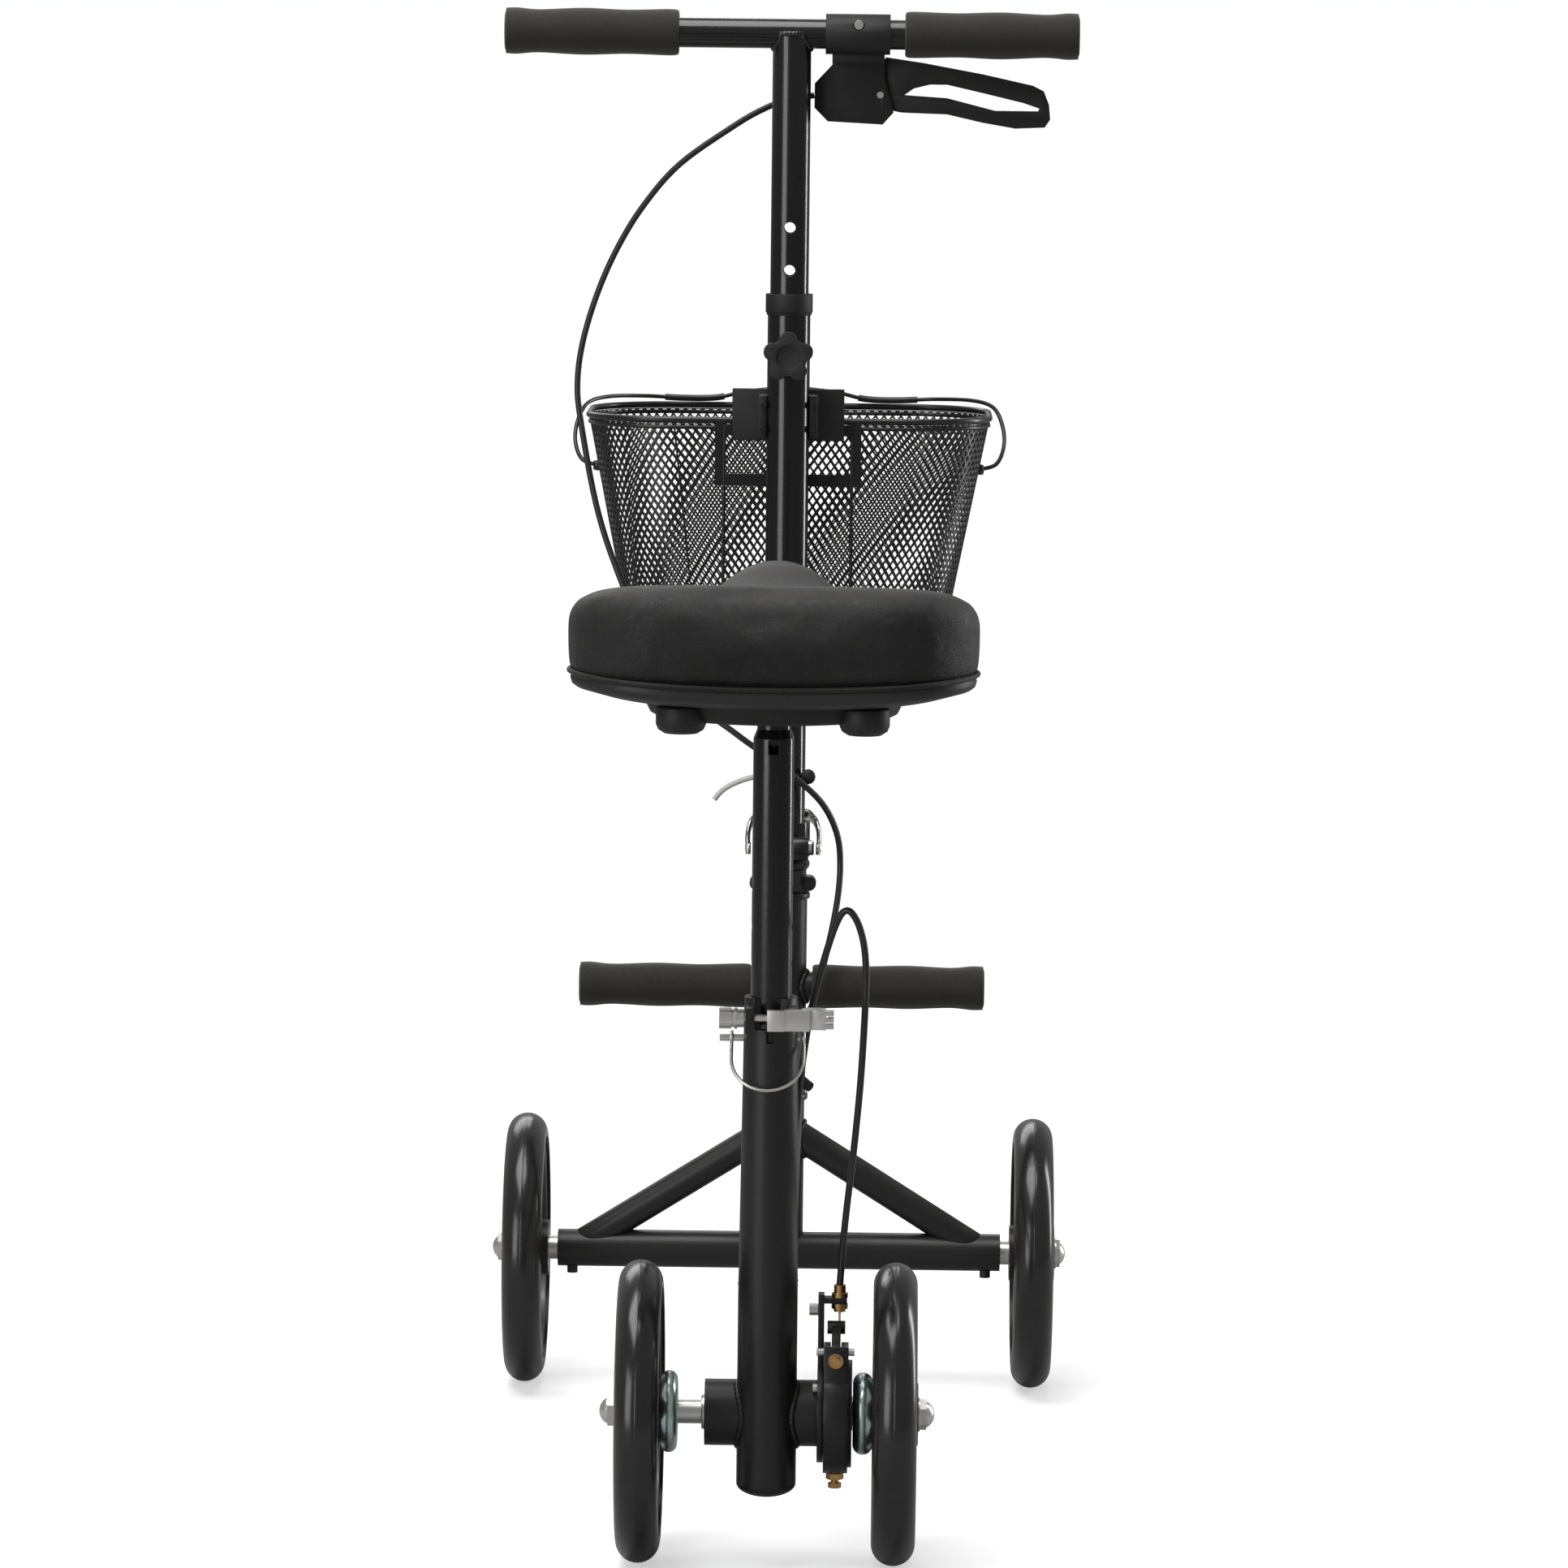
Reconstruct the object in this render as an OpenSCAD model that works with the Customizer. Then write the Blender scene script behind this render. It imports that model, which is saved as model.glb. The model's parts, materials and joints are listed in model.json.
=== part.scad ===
// Seated leg scooter: four wheels, a saddle on a height-adjustable post,
// a fold-down steering column with basket, foot rests and a rear band brake.
// +Y is forward, +X is the rider's right, and the floor is z = 0.

/* [Wheels] */
// Outside diameter of the tyres
wheel_d = 203; // [190:1:215]
// Width of a tyre
tyre_w = 29.5; // [26:0.5:32]
// Distance from the rear axle to the front axle
wheelbase = 640; // [600:5:680]
// Distance between the middles of the front wheels
front_track = 382; // [370:2:400]
// Distance between the middles of the rear wheels
rear_track = 171; // [171:1:180]

/* [Frame] */
// Seat tube diameter near the floor
seat_tube_d = 40; // [39:0.5:42]
// Seat tube diameter at its rim
seat_tube_top_d = 35.6; // [35:0.1:37]
// Height of the seat tube's rim
seat_tube_top = 385; // [383:1:389]
// How far the seat tube stands behind the rear axle
tube_set_back = 11; // [10:0.5:12]
// Diameter of the main beam
beam_d = 36; // [32:0.5:37]
// Diameter of the rear axle housing
housing_d = 44.5; // [43:0.5:46]
// Diameter of the head tube
head_tube_d = 37; // [36:0.5:38]
// Height of the foot rests
foot_z = 303; // [295:1:310]
// Width over the foot rests
foot_span = 305; // [290:1:320]

/* [Column] */
// Height of the handlebar's middle
bar_z = 1017; // [1000:1:1030]
// Width over the hand grips
bar_span = 427; // [415:1:432]
// Diameter of the handlebar tube
bar_d = 22.2; // [22:0.1:22.4]
// Outside diameter of the column tube
column_d = 31.8; // [31.6:0.1:32]
// Diameter of the sliding stem tube
stem_d = 28.6; // [28.4:0.1:28.6]
// Height of the column tube's top
column_top = 818; // [812:1:824]
// Height of the fold pin
fold_z = 412; // [411:0.5:413]

/* [Basket] */
// Width over the basket's rim
basket_w = 309; // [290:1:312]
// Depth over the basket's rim
basket_d = 203; // [190:1:210]
// Height of the rim
basket_top = 727; // [724:1:729]
// Height of the basket's floor
basket_floor = 548; // [540:1:560]

/* [Saddle] */
// Widest point of the saddle
saddle_w = 272; // [260:1:280]
// Length of the saddle
saddle_len = 280; // [272:1:286]
// Height of the saddle's top
saddle_top = 664; // [658:1:668]
// Diameter of the seat post
post_d = 27.2; // [27:0.1:27.2]

/* [Hidden] */
$fn = 64;
eps = 0.05;                        // gap between fixed parts that touch
run = 0.05;                        // running clearance on the radius
tube_wall = 2;                     // wall of the welded tubes
wheel_r = wheel_d / 2;
saddle_back = 125;                 // saddle's rear edge behind the post
basket_gap = 29;                   // basket's rim in front of the steering axis
body_len = tube_set_back + saddle_back + wheelbase + basket_gap + basket_d;
rear_y = tube_set_back + saddle_back - body_len / 2;
front_y = rear_y + wheelbase;
post_y = rear_y - tube_set_back;
stem_r = stem_d / 2;
column_r = column_d / 2;
bar_r = bar_d / 2;
post_r = post_d / 2;

// Wheels
rim_r = 84;                        // the tyre sits on this radius
hub_w = 34;                        // width of a front hub
hub_r = 21;
spokes = 5;
axle_r = 6;                        // front axle rod
bearing_r = 14;
bearing_w = 8;
shaft_r = 8;                       // rear axle shaft
rear_bearing_r = 17.5;

// Front axle
axle_tube_r = 14;
axle_tube_half = 167;
brace_r = 11;
brace_top = 198;
brace_foot = 154;
crown_r = 18;
steerer_r = 12.7;
head_low = 222;
head_high = 370;

// Fold joint
hinge_y = front_y - 25;
knuckle_r = 7;
knuckle_half = 7.5;
pin_r = 3;
base_r = 20;
hole_pitch = 31.75;
knob_z = 778;
stem_low = 600;

// Rear axle and brake, along X
housing_x = [-41.7, 33.6];
flange_r = 27.5;
flange_x = [57.6, 71.2];
plate_x = [33.7, 37.8];
case_x = [38, 54.4];
drum_r = 29.5;
arm_y = rear_y - 20;
arm_z = 147;
stop_y = rear_y + 6;

// Seat post clamp and pin
clamp_z = 373.5;
clamp_y = post_y - 24;
cam_x = 29;
hitch_z = 357;

// Brake lever
lever_y = front_y + 24;
lever_pivot = [72, 972];

// Brake cable: its route, from the lever to the band brake
cable_r = 2.4;
cable_sides = 10;
cable_route = [
    [16.5, front_y + 24, 971], [-2, front_y + 26, 968], [-22, front_y + 26, 960],
    [-44, front_y + 24, 947], [-83, front_y + 20, 919], [-109, front_y + 18, 889],
    [-128, front_y + 16, 858], [-143, front_y + 14, 824], [-154, front_y + 12, 787],
    [-158, front_y + 12, 755], [-155, front_y + 10, 725], [-143, front_y + 6, 664],
    [-127, front_y, 616], [-104, front_y - 9, 566], [-70, front_y - 18, 522],
    [-36, front_y - 25, 496], [-12, front_y - 25, 479], [9, front_y - 22, 463],
    [29, front_y - 13, 443], [40, front_y - 4, 420], [43, front_y, 396],
    [41, front_y - 8, 368], [34, front_y - 20, 333], [24, front_y - 40, 296],
    [11, front_y - 82, 277], [8, front_y - 200, 262], [8, front_y - 340, 246],
    [8, rear_y + 150, 230], [11, rear_y + 72, 238], [16, rear_y + 30, 282],
    [21, rear_y + 14, 335], [28, rear_y + 8, 380], [41, rear_y + 2, 428],
    [50, rear_y - 2, 442], [59, rear_y - 4, 429], [63, rear_y - 4, 400],
    [61, rear_y - 2, 340], [57, rear_y + 2, 288], [51, rear_y + 6, 230],
    [48, stop_y, 188]];
cable_tie_at = 17;                 // route point held by the cable tie
cable_turn_at = 20;                // route point that turns with the steerer

// ---- shapes used by several parts ----

// Cylinder along X between two x values
module along_x(x0, x1, y, z, r) {
    translate([x0, y, z]) rotate([0, 90, 0]) cylinder(h = x1 - x0, r = r);
}

// Cylinder along Y between two y values
module along_y(y0, y1, x, z, r) {
    translate([x, y0, z]) rotate([-90, 0, 0]) cylinder(h = y1 - y0, r = r);
}

// Upright cylinder between two heights
module along_z(z0, z1, x, y, r) {
    translate([x, y, z0]) cylinder(h = z1 - z0, r = r);
}

// Block between two corners
module block(low, high) {
    translate(low) cube(high - low);
}

// Round rod from one point to another
module rod(p, q, r) {
    d = q - p;
    translate(p) rotate([0, acos(d.z / norm(d)), atan2(d.y, d.x)])
        cylinder(h = norm(d), r = r);
}

// Both sides of the centre plane
module both_sides() {
    children();
    mirror([1, 0, 0]) children();
}

// A shape turned about X, for parts revolved around an axle at y, z
module spun_x(x, y, z) {
    translate([x, y, z]) rotate([0, 90, 0]) rotate_extrude($fn = 96) children();
}

// Foam grip from its inner to its outer end, waisted, closed at the outer end
module foam_grip(inner, outer, z, core_r, end_r, mid_r) {
    w = outer - inner;
    translate([inner, front_y, z]) rotate([0, 90, 0]) rotate_extrude() difference() {
        polygon([[0, 0], [end_r - 2, 0], [end_r, 2.5], [end_r, 6], [mid_r, w * 0.3],
            [mid_r, w * 0.55], [end_r - 0.6, w * 0.85], [end_r, w - 4],
            [end_r - 2, w], [0, w]]);
        translate([-1, -1]) square([core_r + eps + 1, w - 4]);
    }
}

// ---- swept wires ----

// Smooth curve through the points of a list
function curve_at(p, i, t) = let(
    n = len(p), a = p[max(i - 1, 0)], b = p[i],
    c = p[min(i + 1, n - 1)], d = p[min(i + 2, n - 1)])
    0.5 * (2 * b + (c - a) * t + (2 * a - 5 * b + 4 * c - d) * t * t
        + (3 * b - a - 3 * c + d) * t * t * t);
curve_steps = 2;
function smooth(p) = [for (i = [0 : len(p) - 2], k = [0 : curve_steps - 1])
    curve_at(p, i, k / curve_steps), p[len(p) - 1]];
function unit(v) = v / norm(v);
function heading(p, i) = unit(p[min(i + 1, len(p) - 1)] - p[max(i - 1, 0)]);
function carried(v, t) = unit(v - (v * t) * t);
function sideways(p, i, v) = i == len(p) ? [] :
    let(s = carried(v, heading(p, i))) concat([s], sideways(p, i + 1, s));

// Round tube along a line, from its ring number low to ring number high
module sweep(line, low, high, r, sides) {
    side_of = sideways(line, 0, [0, 0, 1]);
    n = high - low + 1;
    m = sides;
    rings = [for (i = [low : high], k = [0 : m - 1]) let(
        t = heading(line, i), s = side_of[i], a = 360 * k / m)
        line[i] + r * (cos(a) * s + sin(a) * cross(t, s))];
    walls = [for (i = [0 : n - 2], k = [0 : m - 1]) let(j = (k + 1) % m)
        [i * m + k, (i + 1) * m + k, (i + 1) * m + j, i * m + j]];
    polyhedron(rings, concat(walls, [[for (k = [0 : m - 1]) k]],
        [[for (k = [m - 1 : -1 : 0]) (n - 1) * m + k]]));
}

// The stretch of brake cable between two of its route's points
module cable(first, last) {
    color("#1a1a1a") sweep(smooth(cable_route), first * curve_steps,
        last * curve_steps, cable_r, cable_sides);
}

module cable_upper() { cable(0, cable_tie_at); }
module cable_middle() { cable(cable_tie_at, cable_turn_at); }
module cable_lower() { cable(cable_turn_at, len(cable_route) - 1); }

// ---- wheels ----

// Round-section tyre, its middle at x on an axle at y
module tyre(x, y) {
    r = tyre_w / 2;
    color("#1b1b1d") spun_x(x, y, wheel_r) intersection() {
        translate([wheel_r - r, 0]) circle(r = r);
        translate([rim_r, -tyre_w]) square([wheel_r, 2 * tyre_w]);
    }
}

// Five-spoke rim; inner is the hub's inner face, outer its outer face
module rim(x, y, inner, outer, bore) {
    color("#232325") difference() {
        union() {
            spun_x(x, y, wheel_r) polygon([[70, -9], [73, -12], [rim_r - eps, -12.5],
                [rim_r - eps, 12.5], [73, 12], [70, 9]]);
            along_x(inner, outer, y, wheel_r, hub_r);
            for (i = [0 : spokes - 1]) translate([x, y, wheel_r])
                rotate([i * 360 / spokes, 0, 0]) {
                    translate([-7, -8, hub_r - 3]) cube([14, 16, 54]);
                    translate([-3, -11, hub_r - 3]) cube([6, 22, 54]);
                }
        }
        along_x(inner - 1, outer + 1, y, wheel_r, bore);
    }
}

module front_rim(side) {
    x = side * front_track / 2;
    ends = [x - hub_w / 2, x + hub_w / 2];
    pocket = bearing_w + 0.2;
    difference() {
        rim(x, front_y, ends[0], ends[1], axle_r + 3);
        for (e = [0, 1]) along_x(ends[e] - (e == 0 ? 1 : pocket),
            ends[e] + (e == 0 ? pocket : 1), front_y, wheel_r, bearing_r + run);
    }
}
module front_tyre_left() { tyre(-front_track / 2, front_y); }
module front_rim_left() { front_rim(-1); }
module front_tyre_right() { tyre(front_track / 2, front_y); }
module front_rim_right() { front_rim(1); }

module front_bearings() {
    color("silver") both_sides() for (x = [-hub_w / 2, hub_w / 2 - bearing_w])
        spun_x(front_track / 2 + x, front_y, wheel_r) polygon([
            [axle_r + eps, 0], [axle_r + eps, bearing_w], [8, bearing_w],
            [8.6, bearing_w - 0.6], [11.6, bearing_w - 0.6], [12.2, bearing_w],
            [bearing_r, bearing_w], [bearing_r, 0], [12.2, 0], [11.6, 0.6],
            [8.6, 0.6], [8, 0]]);
}

module rear_tyres() {
    for (side = [-1, 1]) tyre(side * rear_track / 2, rear_y);
}

module rear_rims() {
    x = rear_track / 2;
    rim(x, rear_y, flange_x[1] + eps, x + 16, shaft_r + eps);
    rim(-x, rear_y, -x - 16, -flange_x[1] - eps, shaft_r + eps);
}

// Pressed zinc hub flanges with a fully rounded edge
module hub_flange(inner, outer) {
    w = outer - inner;
    color("#b9c4bd") spun_x(inner, rear_y, wheel_r) union() {
        translate([shaft_r + eps, 0]) square([flange_r - w / 2 - shaft_r, w]);
        translate([flange_r - w / 2, w / 2]) circle(r = w / 2);
    }
}
module hub_flanges() {
    hub_flange(flange_x[0], flange_x[1]);
    hub_flange(-flange_x[1], -60);
}

// Rear shaft with domed nuts on its ends
module rear_shaft() {
    x = rear_track / 2 + 16 + eps;
    color("silver") {
        along_x(-x - 6, x + 6, rear_y, wheel_r, shaft_r);
        both_sides() dome_nut(x, 11, rear_y);
    }
}

// Six-sided nut with a domed end, on an axle at y
module dome_nut(x, w, y) {
    translate([x, y, wheel_r]) rotate([0, 90, 0]) {
        cylinder(h = w * 0.5, r = 10.5, $fn = 6);
        cylinder(h = 1.2, r = 11.5);
        intersection() {
            cylinder(h = w, r = 8.6);
            translate([0, 0, w - 10]) sphere(r = 10);
        }
    }
}

// ---- frame ----

module seat_tube_body(grow = 0) {
    translate([0, post_y, 0]) {
        translate([0, 0, 56]) cylinder(h = 129, r = seat_tube_d / 2 + grow);
        translate([0, 0, 185]) cylinder(h = seat_tube_top - 185,
            r1 = seat_tube_d / 2 + grow, r2 = seat_tube_top_d / 2 + grow);
    }
}

module seat_tube() {
    color("#2b2b2d") difference() {
        union() {
            seat_tube_body();
            translate([0, post_y, 56]) scale([1, 1, 0.45]) sphere(r = seat_tube_d / 2);
            // ears of the pinch clamp
            both_sides() block([10.5, post_y - 29, clamp_z - 7],
                [16.5, post_y - 10, clamp_z + 7]);
        }
        along_z(66, seat_tube_top + 1, 0, post_y, post_r + run);
        along_x(housing_x[0], housing_x[1], rear_y, wheel_r, housing_d / 2 + eps);
        // slit, and the wider gap between the ears
        block([-2.5, post_y - 40, clamp_z - 18], [2.5, post_y, seat_tube_top + 1]);
        block([-10.5, post_y - 40, clamp_z - 9], [10.5, post_y - 12, seat_tube_top + 1]);
        along_x(-40, 40, clamp_y, clamp_z, 2.6);
        along_x(-40, 40, post_y, hitch_z, 2.7);
    }
}

module main_beam() {
    color("#2b2b2d") difference() {
        rod([0, post_y, 190], [0, front_y, 262], beam_d / 2);
        rod([0, post_y, 190], [0, front_y, 262], beam_d / 2 - tube_wall);
        seat_tube_body(eps);
        along_z(160, 400, 0, post_y, post_r + 1);
        along_z(200, 400, 0, front_y, head_tube_d / 2 + eps);
    }
}

module axle_housing() {
    color("#2a2a2c") difference() {
        along_x(housing_x[0], housing_x[1], rear_y, wheel_r, housing_d / 2);
        along_x(housing_x[0] - 1, housing_x[1] + 1, rear_y, wheel_r, rear_bearing_r - 2);
        along_x(housing_x[0] - 1, housing_x[0] + 11, rear_y, wheel_r,
            rear_bearing_r + eps);
        along_x(housing_x[1] - 11, housing_x[1] + 1, rear_y, wheel_r,
            rear_bearing_r + eps);
    }
}

module rear_bearings() {
    color("silver") {
        spun_x(housing_x[0] - 2.2, rear_y, wheel_r) polygon([
            [shaft_r + run, 0], [shaft_r + run, 13], [rear_bearing_r, 13],
            [rear_bearing_r, 2.2], [11.7, 2.2], [11.7, 0.8], [10.8, 0]]);
        spun_x(housing_x[1] - 11, rear_y, wheel_r) polygon([
            [shaft_r + run, 0], [shaft_r + run, 11], [rear_bearing_r, 11],
            [rear_bearing_r, 0]]);
    }
}

module head_tube() {
    color("#29292b") difference() {
        union() {
            along_z(head_low, head_high, 0, front_y, head_tube_d / 2);
            // steering stop on the right
            rod([16, front_y - 6, 232], [22, front_y - 12, 228], 4);
        }
        along_z(head_low - 1, head_high + 1, 0, front_y, 16.5);
    }
}

module headset_cups() {
    color("#222224") for (end = [0, 1]) translate([0, front_y, end == 0 ? head_low :
        head_high]) mirror([0, 0, end]) rotate_extrude() polygon([
            [steerer_r + run, -5], [19.5, -5], [20.5, -4], [20.5, -eps],
            [16.5 - eps, -eps], [16.5 - eps, 12], [steerer_r + run, 12]]);
}

module foot_bar() {
    half = foot_span / 2 - 5;
    color("#29292b") difference() {
        along_x(-half, half, front_y, foot_z, bar_r);
        along_x(-half - 1, half + 1, front_y, foot_z, bar_r - tube_wall);
        along_z(foot_z - 20, foot_z + 20, 0, front_y, head_tube_d / 2 + eps);
    }
}

module foot_grips() {
    color("#2f2d29") both_sides()
        foam_grip(23, foot_span / 2, foot_z, bar_r, 16.4, 15.4);
}

// ---- band brake ----

module brake_back_plate() {
    color("#1f1f21") difference() {
        union() {
            along_x(plate_x[0], plate_x[1], rear_y, wheel_r, 33);
            // upright that carries the cable stop
            block([plate_x[0], stop_y - 6, wheel_r + 20], [plate_x[1], stop_y + 6, 182]);
            block([plate_x[0], stop_y - 6, 176], [53, stop_y + 6, 179.5]);
        }
        along_x(plate_x[0] - 1, plate_x[1] + 1, rear_y, wheel_r, 12);
        along_z(175, 181, 48, stop_y, 4 + eps);
    }
}

module brake_case() {
    color("#1c1c1e") difference() {
        union() {
            along_x(case_x[0], case_x[1], rear_y, wheel_r, 40);
            along_x(case_x[1], case_x[1] + 2.6, rear_y, wheel_r, 36);
            block([case_x[0], arm_y - 10, wheel_r + 20],
                [case_x[1], arm_y + 10, arm_z + 5]);
        }
        along_x(case_x[0] - 1, case_x[1] - 2, rear_y, wheel_r, 36.5);
        along_x(case_x[0], case_x[1] + 3, rear_y, wheel_r, 13);
        // slot where the arm comes out
        block([case_x[0] + 4.5, arm_y - 7, wheel_r + 30],
            [case_x[0] + 11.5, arm_y + 30, arm_z + 8]);
        along_x(case_x[0] - 1, case_x[1] + 1, arm_y, arm_z, 2.5 + eps);
    }
}

// Steel band with its lining, open at the top
module brake_band() {
    color("#8a8a86") difference() {
        along_x(case_x[0] + 2, case_x[0] + 13, rear_y, wheel_r, 33.5);
        along_x(case_x[0], case_x[0] + 15, rear_y, wheel_r, 30.5);
        block([case_x[0], rear_y - 14, wheel_r], [case_x[1], rear_y + 14, 150]);
    }
}

module brake_drum() {
    color("#6f6f70") spun_x(case_x[0] + 2, rear_y, wheel_r) polygon([
        [shaft_r + eps, 0], [11.5, 0], [11.5, 8.5], [26, 8.5], [26, 0],
        [drum_r, 0], [drum_r, 11.5], [11.5, 11.5], [11.5, 17.5], [shaft_r + eps, 17.5]]);
}

// Screws that hold the back plate on the housing's flange
module brake_screws() {
    color("silver") {
        for (a = [50, 230]) along_x(plate_x[0] - 3, plate_x[0] - eps,
            rear_y - 26.5 * cos(a), wheel_r + 26.5 * sin(a), 3);
        along_x(case_x[0] - 5, case_x[1] + 4, arm_y, arm_z, 2.5);
        along_x(plate_x[0] - 6, plate_x[0] - eps, stop_y, 171, 4);
    }
}

// Brass adjusting screws behind and under the case
module brake_adjusters() {
    color("#b08a45") {
        along_y(arm_y - 13, arm_y - 10 - eps, case_x[0] + 8, 143, 5);
        along_y(arm_y - 17, arm_y - 12, case_x[0] + 8, 143, 3);
        along_z(54, 61.3, case_x[0] + 8, rear_y, 2.5);
        translate([case_x[0] + 8, rear_y, 57]) cylinder(h = 4, r = 6, $fn = 6);
        translate([case_x[0] + 8, rear_y, 51]) cylinder(h = 3.5, r = 4.5, $fn = 6);
    }
}

// Barrel adjuster that ends the outer cable
module cable_stop() {
    color("#b08a45") difference() {
        union() {
            along_z(170, 188 - eps, 48, stop_y, 4);
            along_z(179.6, 182.5, 48, stop_y, 5.5);
            along_z(172, 175.5, 48, stop_y, 5.5);
        }
        along_z(169, 189, 48, stop_y, 1);
    }
}

// Arm that pulls the band, with its cable anchor
module brake_arm() {
    x = case_x[0] + 5;
    color("#3a3a3c") difference() {
        union() {
            along_x(x, x + 6, arm_y, arm_z, 5.5);
            arm_bar(x, arm_y, arm_z, 29, 23);
            along_x(x - 3, x + 9, stop_y, arm_z + 12, 4.5);
        }
        along_x(x - 1, x + 7, arm_y, arm_z, 2.5 + run);
    }
}

// Flat bar from a pivot, tilted up and forward
module arm_bar(x, y, z, length, tilt) {
    translate([x, y, z]) rotate([tilt, 0, 0]) translate([0, 0, -4])
        cube([6, length, 8]);
}

// ---- seat clamp and pin ----

module clamp_skewer() {
    color("silver") {
        along_x(-34, cam_x + 3, clamp_y, clamp_z, 2.5);
        difference() {
            union() {
                along_x(-34, -26, clamp_y, clamp_z, 7.2);
                along_x(-26, -17.5, clamp_y, clamp_z, 6.2);
                along_x(-24, -22, clamp_y, clamp_z, 7.2);
            }
            for (a = [0 : 30 : 330]) translate([-34.5, clamp_y, clamp_z])
                rotate([a, 0, 0]) translate([0, 0, 7.6]) rotate([0, 90, 0])
                    cylinder(h = 8, r = 1);
        }
    }
}

// Cam lever that lies across the back of the seat tube
module clamp_lever() {
    color("#c9c9c2") difference() {
        union() {
            along_z(clamp_z - 6.5, clamp_z + 6.5, cam_x, clamp_y, 8);
            block([cam_x - 2, clamp_y - 8, clamp_z - 6.5], [cam_x + 8, clamp_y + 2,
                clamp_z + 6.5]);
            for (k = [-1 : 1]) block([cam_x + 7.5, clamp_y - 8, clamp_z + 4.4 * k - 1.4],
                [cam_x + 13, clamp_y + 2, clamp_z + 4.4 * k + 1.4]);
            block([9, clamp_y - 12, clamp_z - 7], [cam_x - 3, clamp_y - 6, clamp_z + 7]);
            block([-2, clamp_y - 14, clamp_z - 7], [9.2, clamp_y - 8.6, clamp_z + 7]);
        }
        along_z(clamp_z - 3.2, clamp_z + 3.2, cam_x, clamp_y, 4.6);
        block([cam_x - 9, clamp_y - 2.8, clamp_z - 3.2],
            [cam_x + 9, clamp_y + 9, clamp_z + 3.2]);
    }
}

module hitch_pin() {
    color("silver") {
        along_x(-34, -post_r - 0.2, post_y, hitch_z, 2.4);
        along_x(post_r + 0.2, 19.5, post_y, hitch_z, 2.4);
    }
}

// Sprung wire ring that swings on the pin and lies behind the tube
ring_lean = 37;
module hitch_ring() {
    r = 1.2;
    leg = 16;
    color("silver") translate([0, post_y, hitch_z]) rotate([180 - ring_lean, 0, 0]) {
        for (x = [-26, 22]) {
            rod([x, 0, 2.7 + r], [x, 0, leg], r);
            translate([x, 0, 0]) rotate([0, 90, 0]) rotate_extrude()
                translate([2.7 + r, 0]) circle(r = r);
        }
        translate([-2, 0, leg]) rotate([90, 0, 0]) rotate_extrude(angle = 180)
            translate([24, 0]) circle(r = r);
    }
}

// ---- front axle and steering ----

module axle_line(r) {
    along_x(-axle_tube_half - 1, axle_tube_half + 1, front_y, wheel_r, r);
}

module front_axle_tube() {
    color("#28282a") difference() {
        union() {
            along_x(-axle_tube_half, axle_tube_half, front_y, wheel_r, axle_tube_r);
            // set screws under the ends
            both_sides() translate([156, front_y, wheel_r - axle_tube_r - 5])
                cylinder(h = 8, r = 4);
        }
        axle_line(axle_r + eps);
        // hollow between the bushes that hold the rod
        along_x(-130, 130, front_y, wheel_r, axle_tube_r - tube_wall);
    }
}

module front_axle_rod() {
    ends = front_track / 2 + hub_w / 2 + 0.3;
    color("silver") {
        along_x(-ends - 5, ends + 5, front_y, wheel_r, axle_r);
        both_sides() {
            along_x(axle_tube_half + eps, front_track / 2 - hub_w / 2 - 0.3, front_y,
                wheel_r, 9);
            dome_nut(ends, 8.2, front_y);
        }
    }
}

module axle_braces() {
    color("#28282a") difference() {
        both_sides() rod([0, front_y, brace_top],
            [brace_foot, front_y, wheel_r], brace_r);
        both_sides() rod([0, front_y, brace_top],
            [brace_foot, front_y, wheel_r], brace_r - tube_wall);
        axle_line(axle_tube_r + eps);
        along_z(90, 230, 0, front_y, crown_r + eps);
        block([-200, front_y - 20, 60], [200, front_y + 20, wheel_r]);
    }
}

module steerer() {
    color("#28282a") difference() {
        union() {
            along_z(wheel_r, head_low - 5.5, 0, front_y, crown_r);
            along_z(head_low - 6, 402, 0, front_y, steerer_r);
        }
        axle_line(axle_tube_r + eps);
        along_z(head_low - 90, head_low - 19, 0, front_y, crown_r - 2 * tube_wall);
        along_z(head_low - 20, 403, 0, front_y, steerer_r - 3);
    }
}

module fold_base() {
    ear = 25;
    color("#1d1d1f") difference() {
        union() {
            along_z(376, 404, 0, front_y, 17.7);
            translate([0, front_y, 396]) rotate_extrude() translate([15, 0]) circle(r = 5);
            // two-bolt pinch clamp on the steerer
            block([5.5 - ear, front_y - 7, 376], [ear - 5.5, front_y + 7, 387]);
            both_sides() along_y(front_y - 7, front_y + 7, ear - 5.5, 381.5, 5.5);
            along_z(402, fold_z - 0.4, 0, front_y, base_r);
            both_sides() {
                block([knuckle_half + 0.3, hinge_y - 4, fold_z - 10],
                    [base_r - 1, hinge_y + 12, fold_z - 0.4]);
                along_x(knuckle_half + 0.3, base_r - 1, hinge_y, fold_z, knuckle_r);
                // ears that carry the latch
                block([17, front_y - 5, fold_z - 9], [23, front_y + 9, fold_z - 0.4]);
            }
        }
        along_z(370, 402.5, 0, front_y, steerer_r + eps);
        along_x(-knuckle_half - 0.3, knuckle_half + 0.3, hinge_y, fold_z, knuckle_r + 0.6);
        along_x(-30, 30, hinge_y, fold_z, pin_r + eps);
        along_x(-40, 40, front_y + 2, fold_z - 5, 2.5 + run);
    }
}

module fold_pin() {
    color("silver") {
        along_x(-base_r - 1, base_r + 1, hinge_y, fold_z, pin_r);
        both_sides() along_x(base_r - 0.9, base_r + 1.5, hinge_y, fold_z, pin_r + 2);
    }
}

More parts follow.
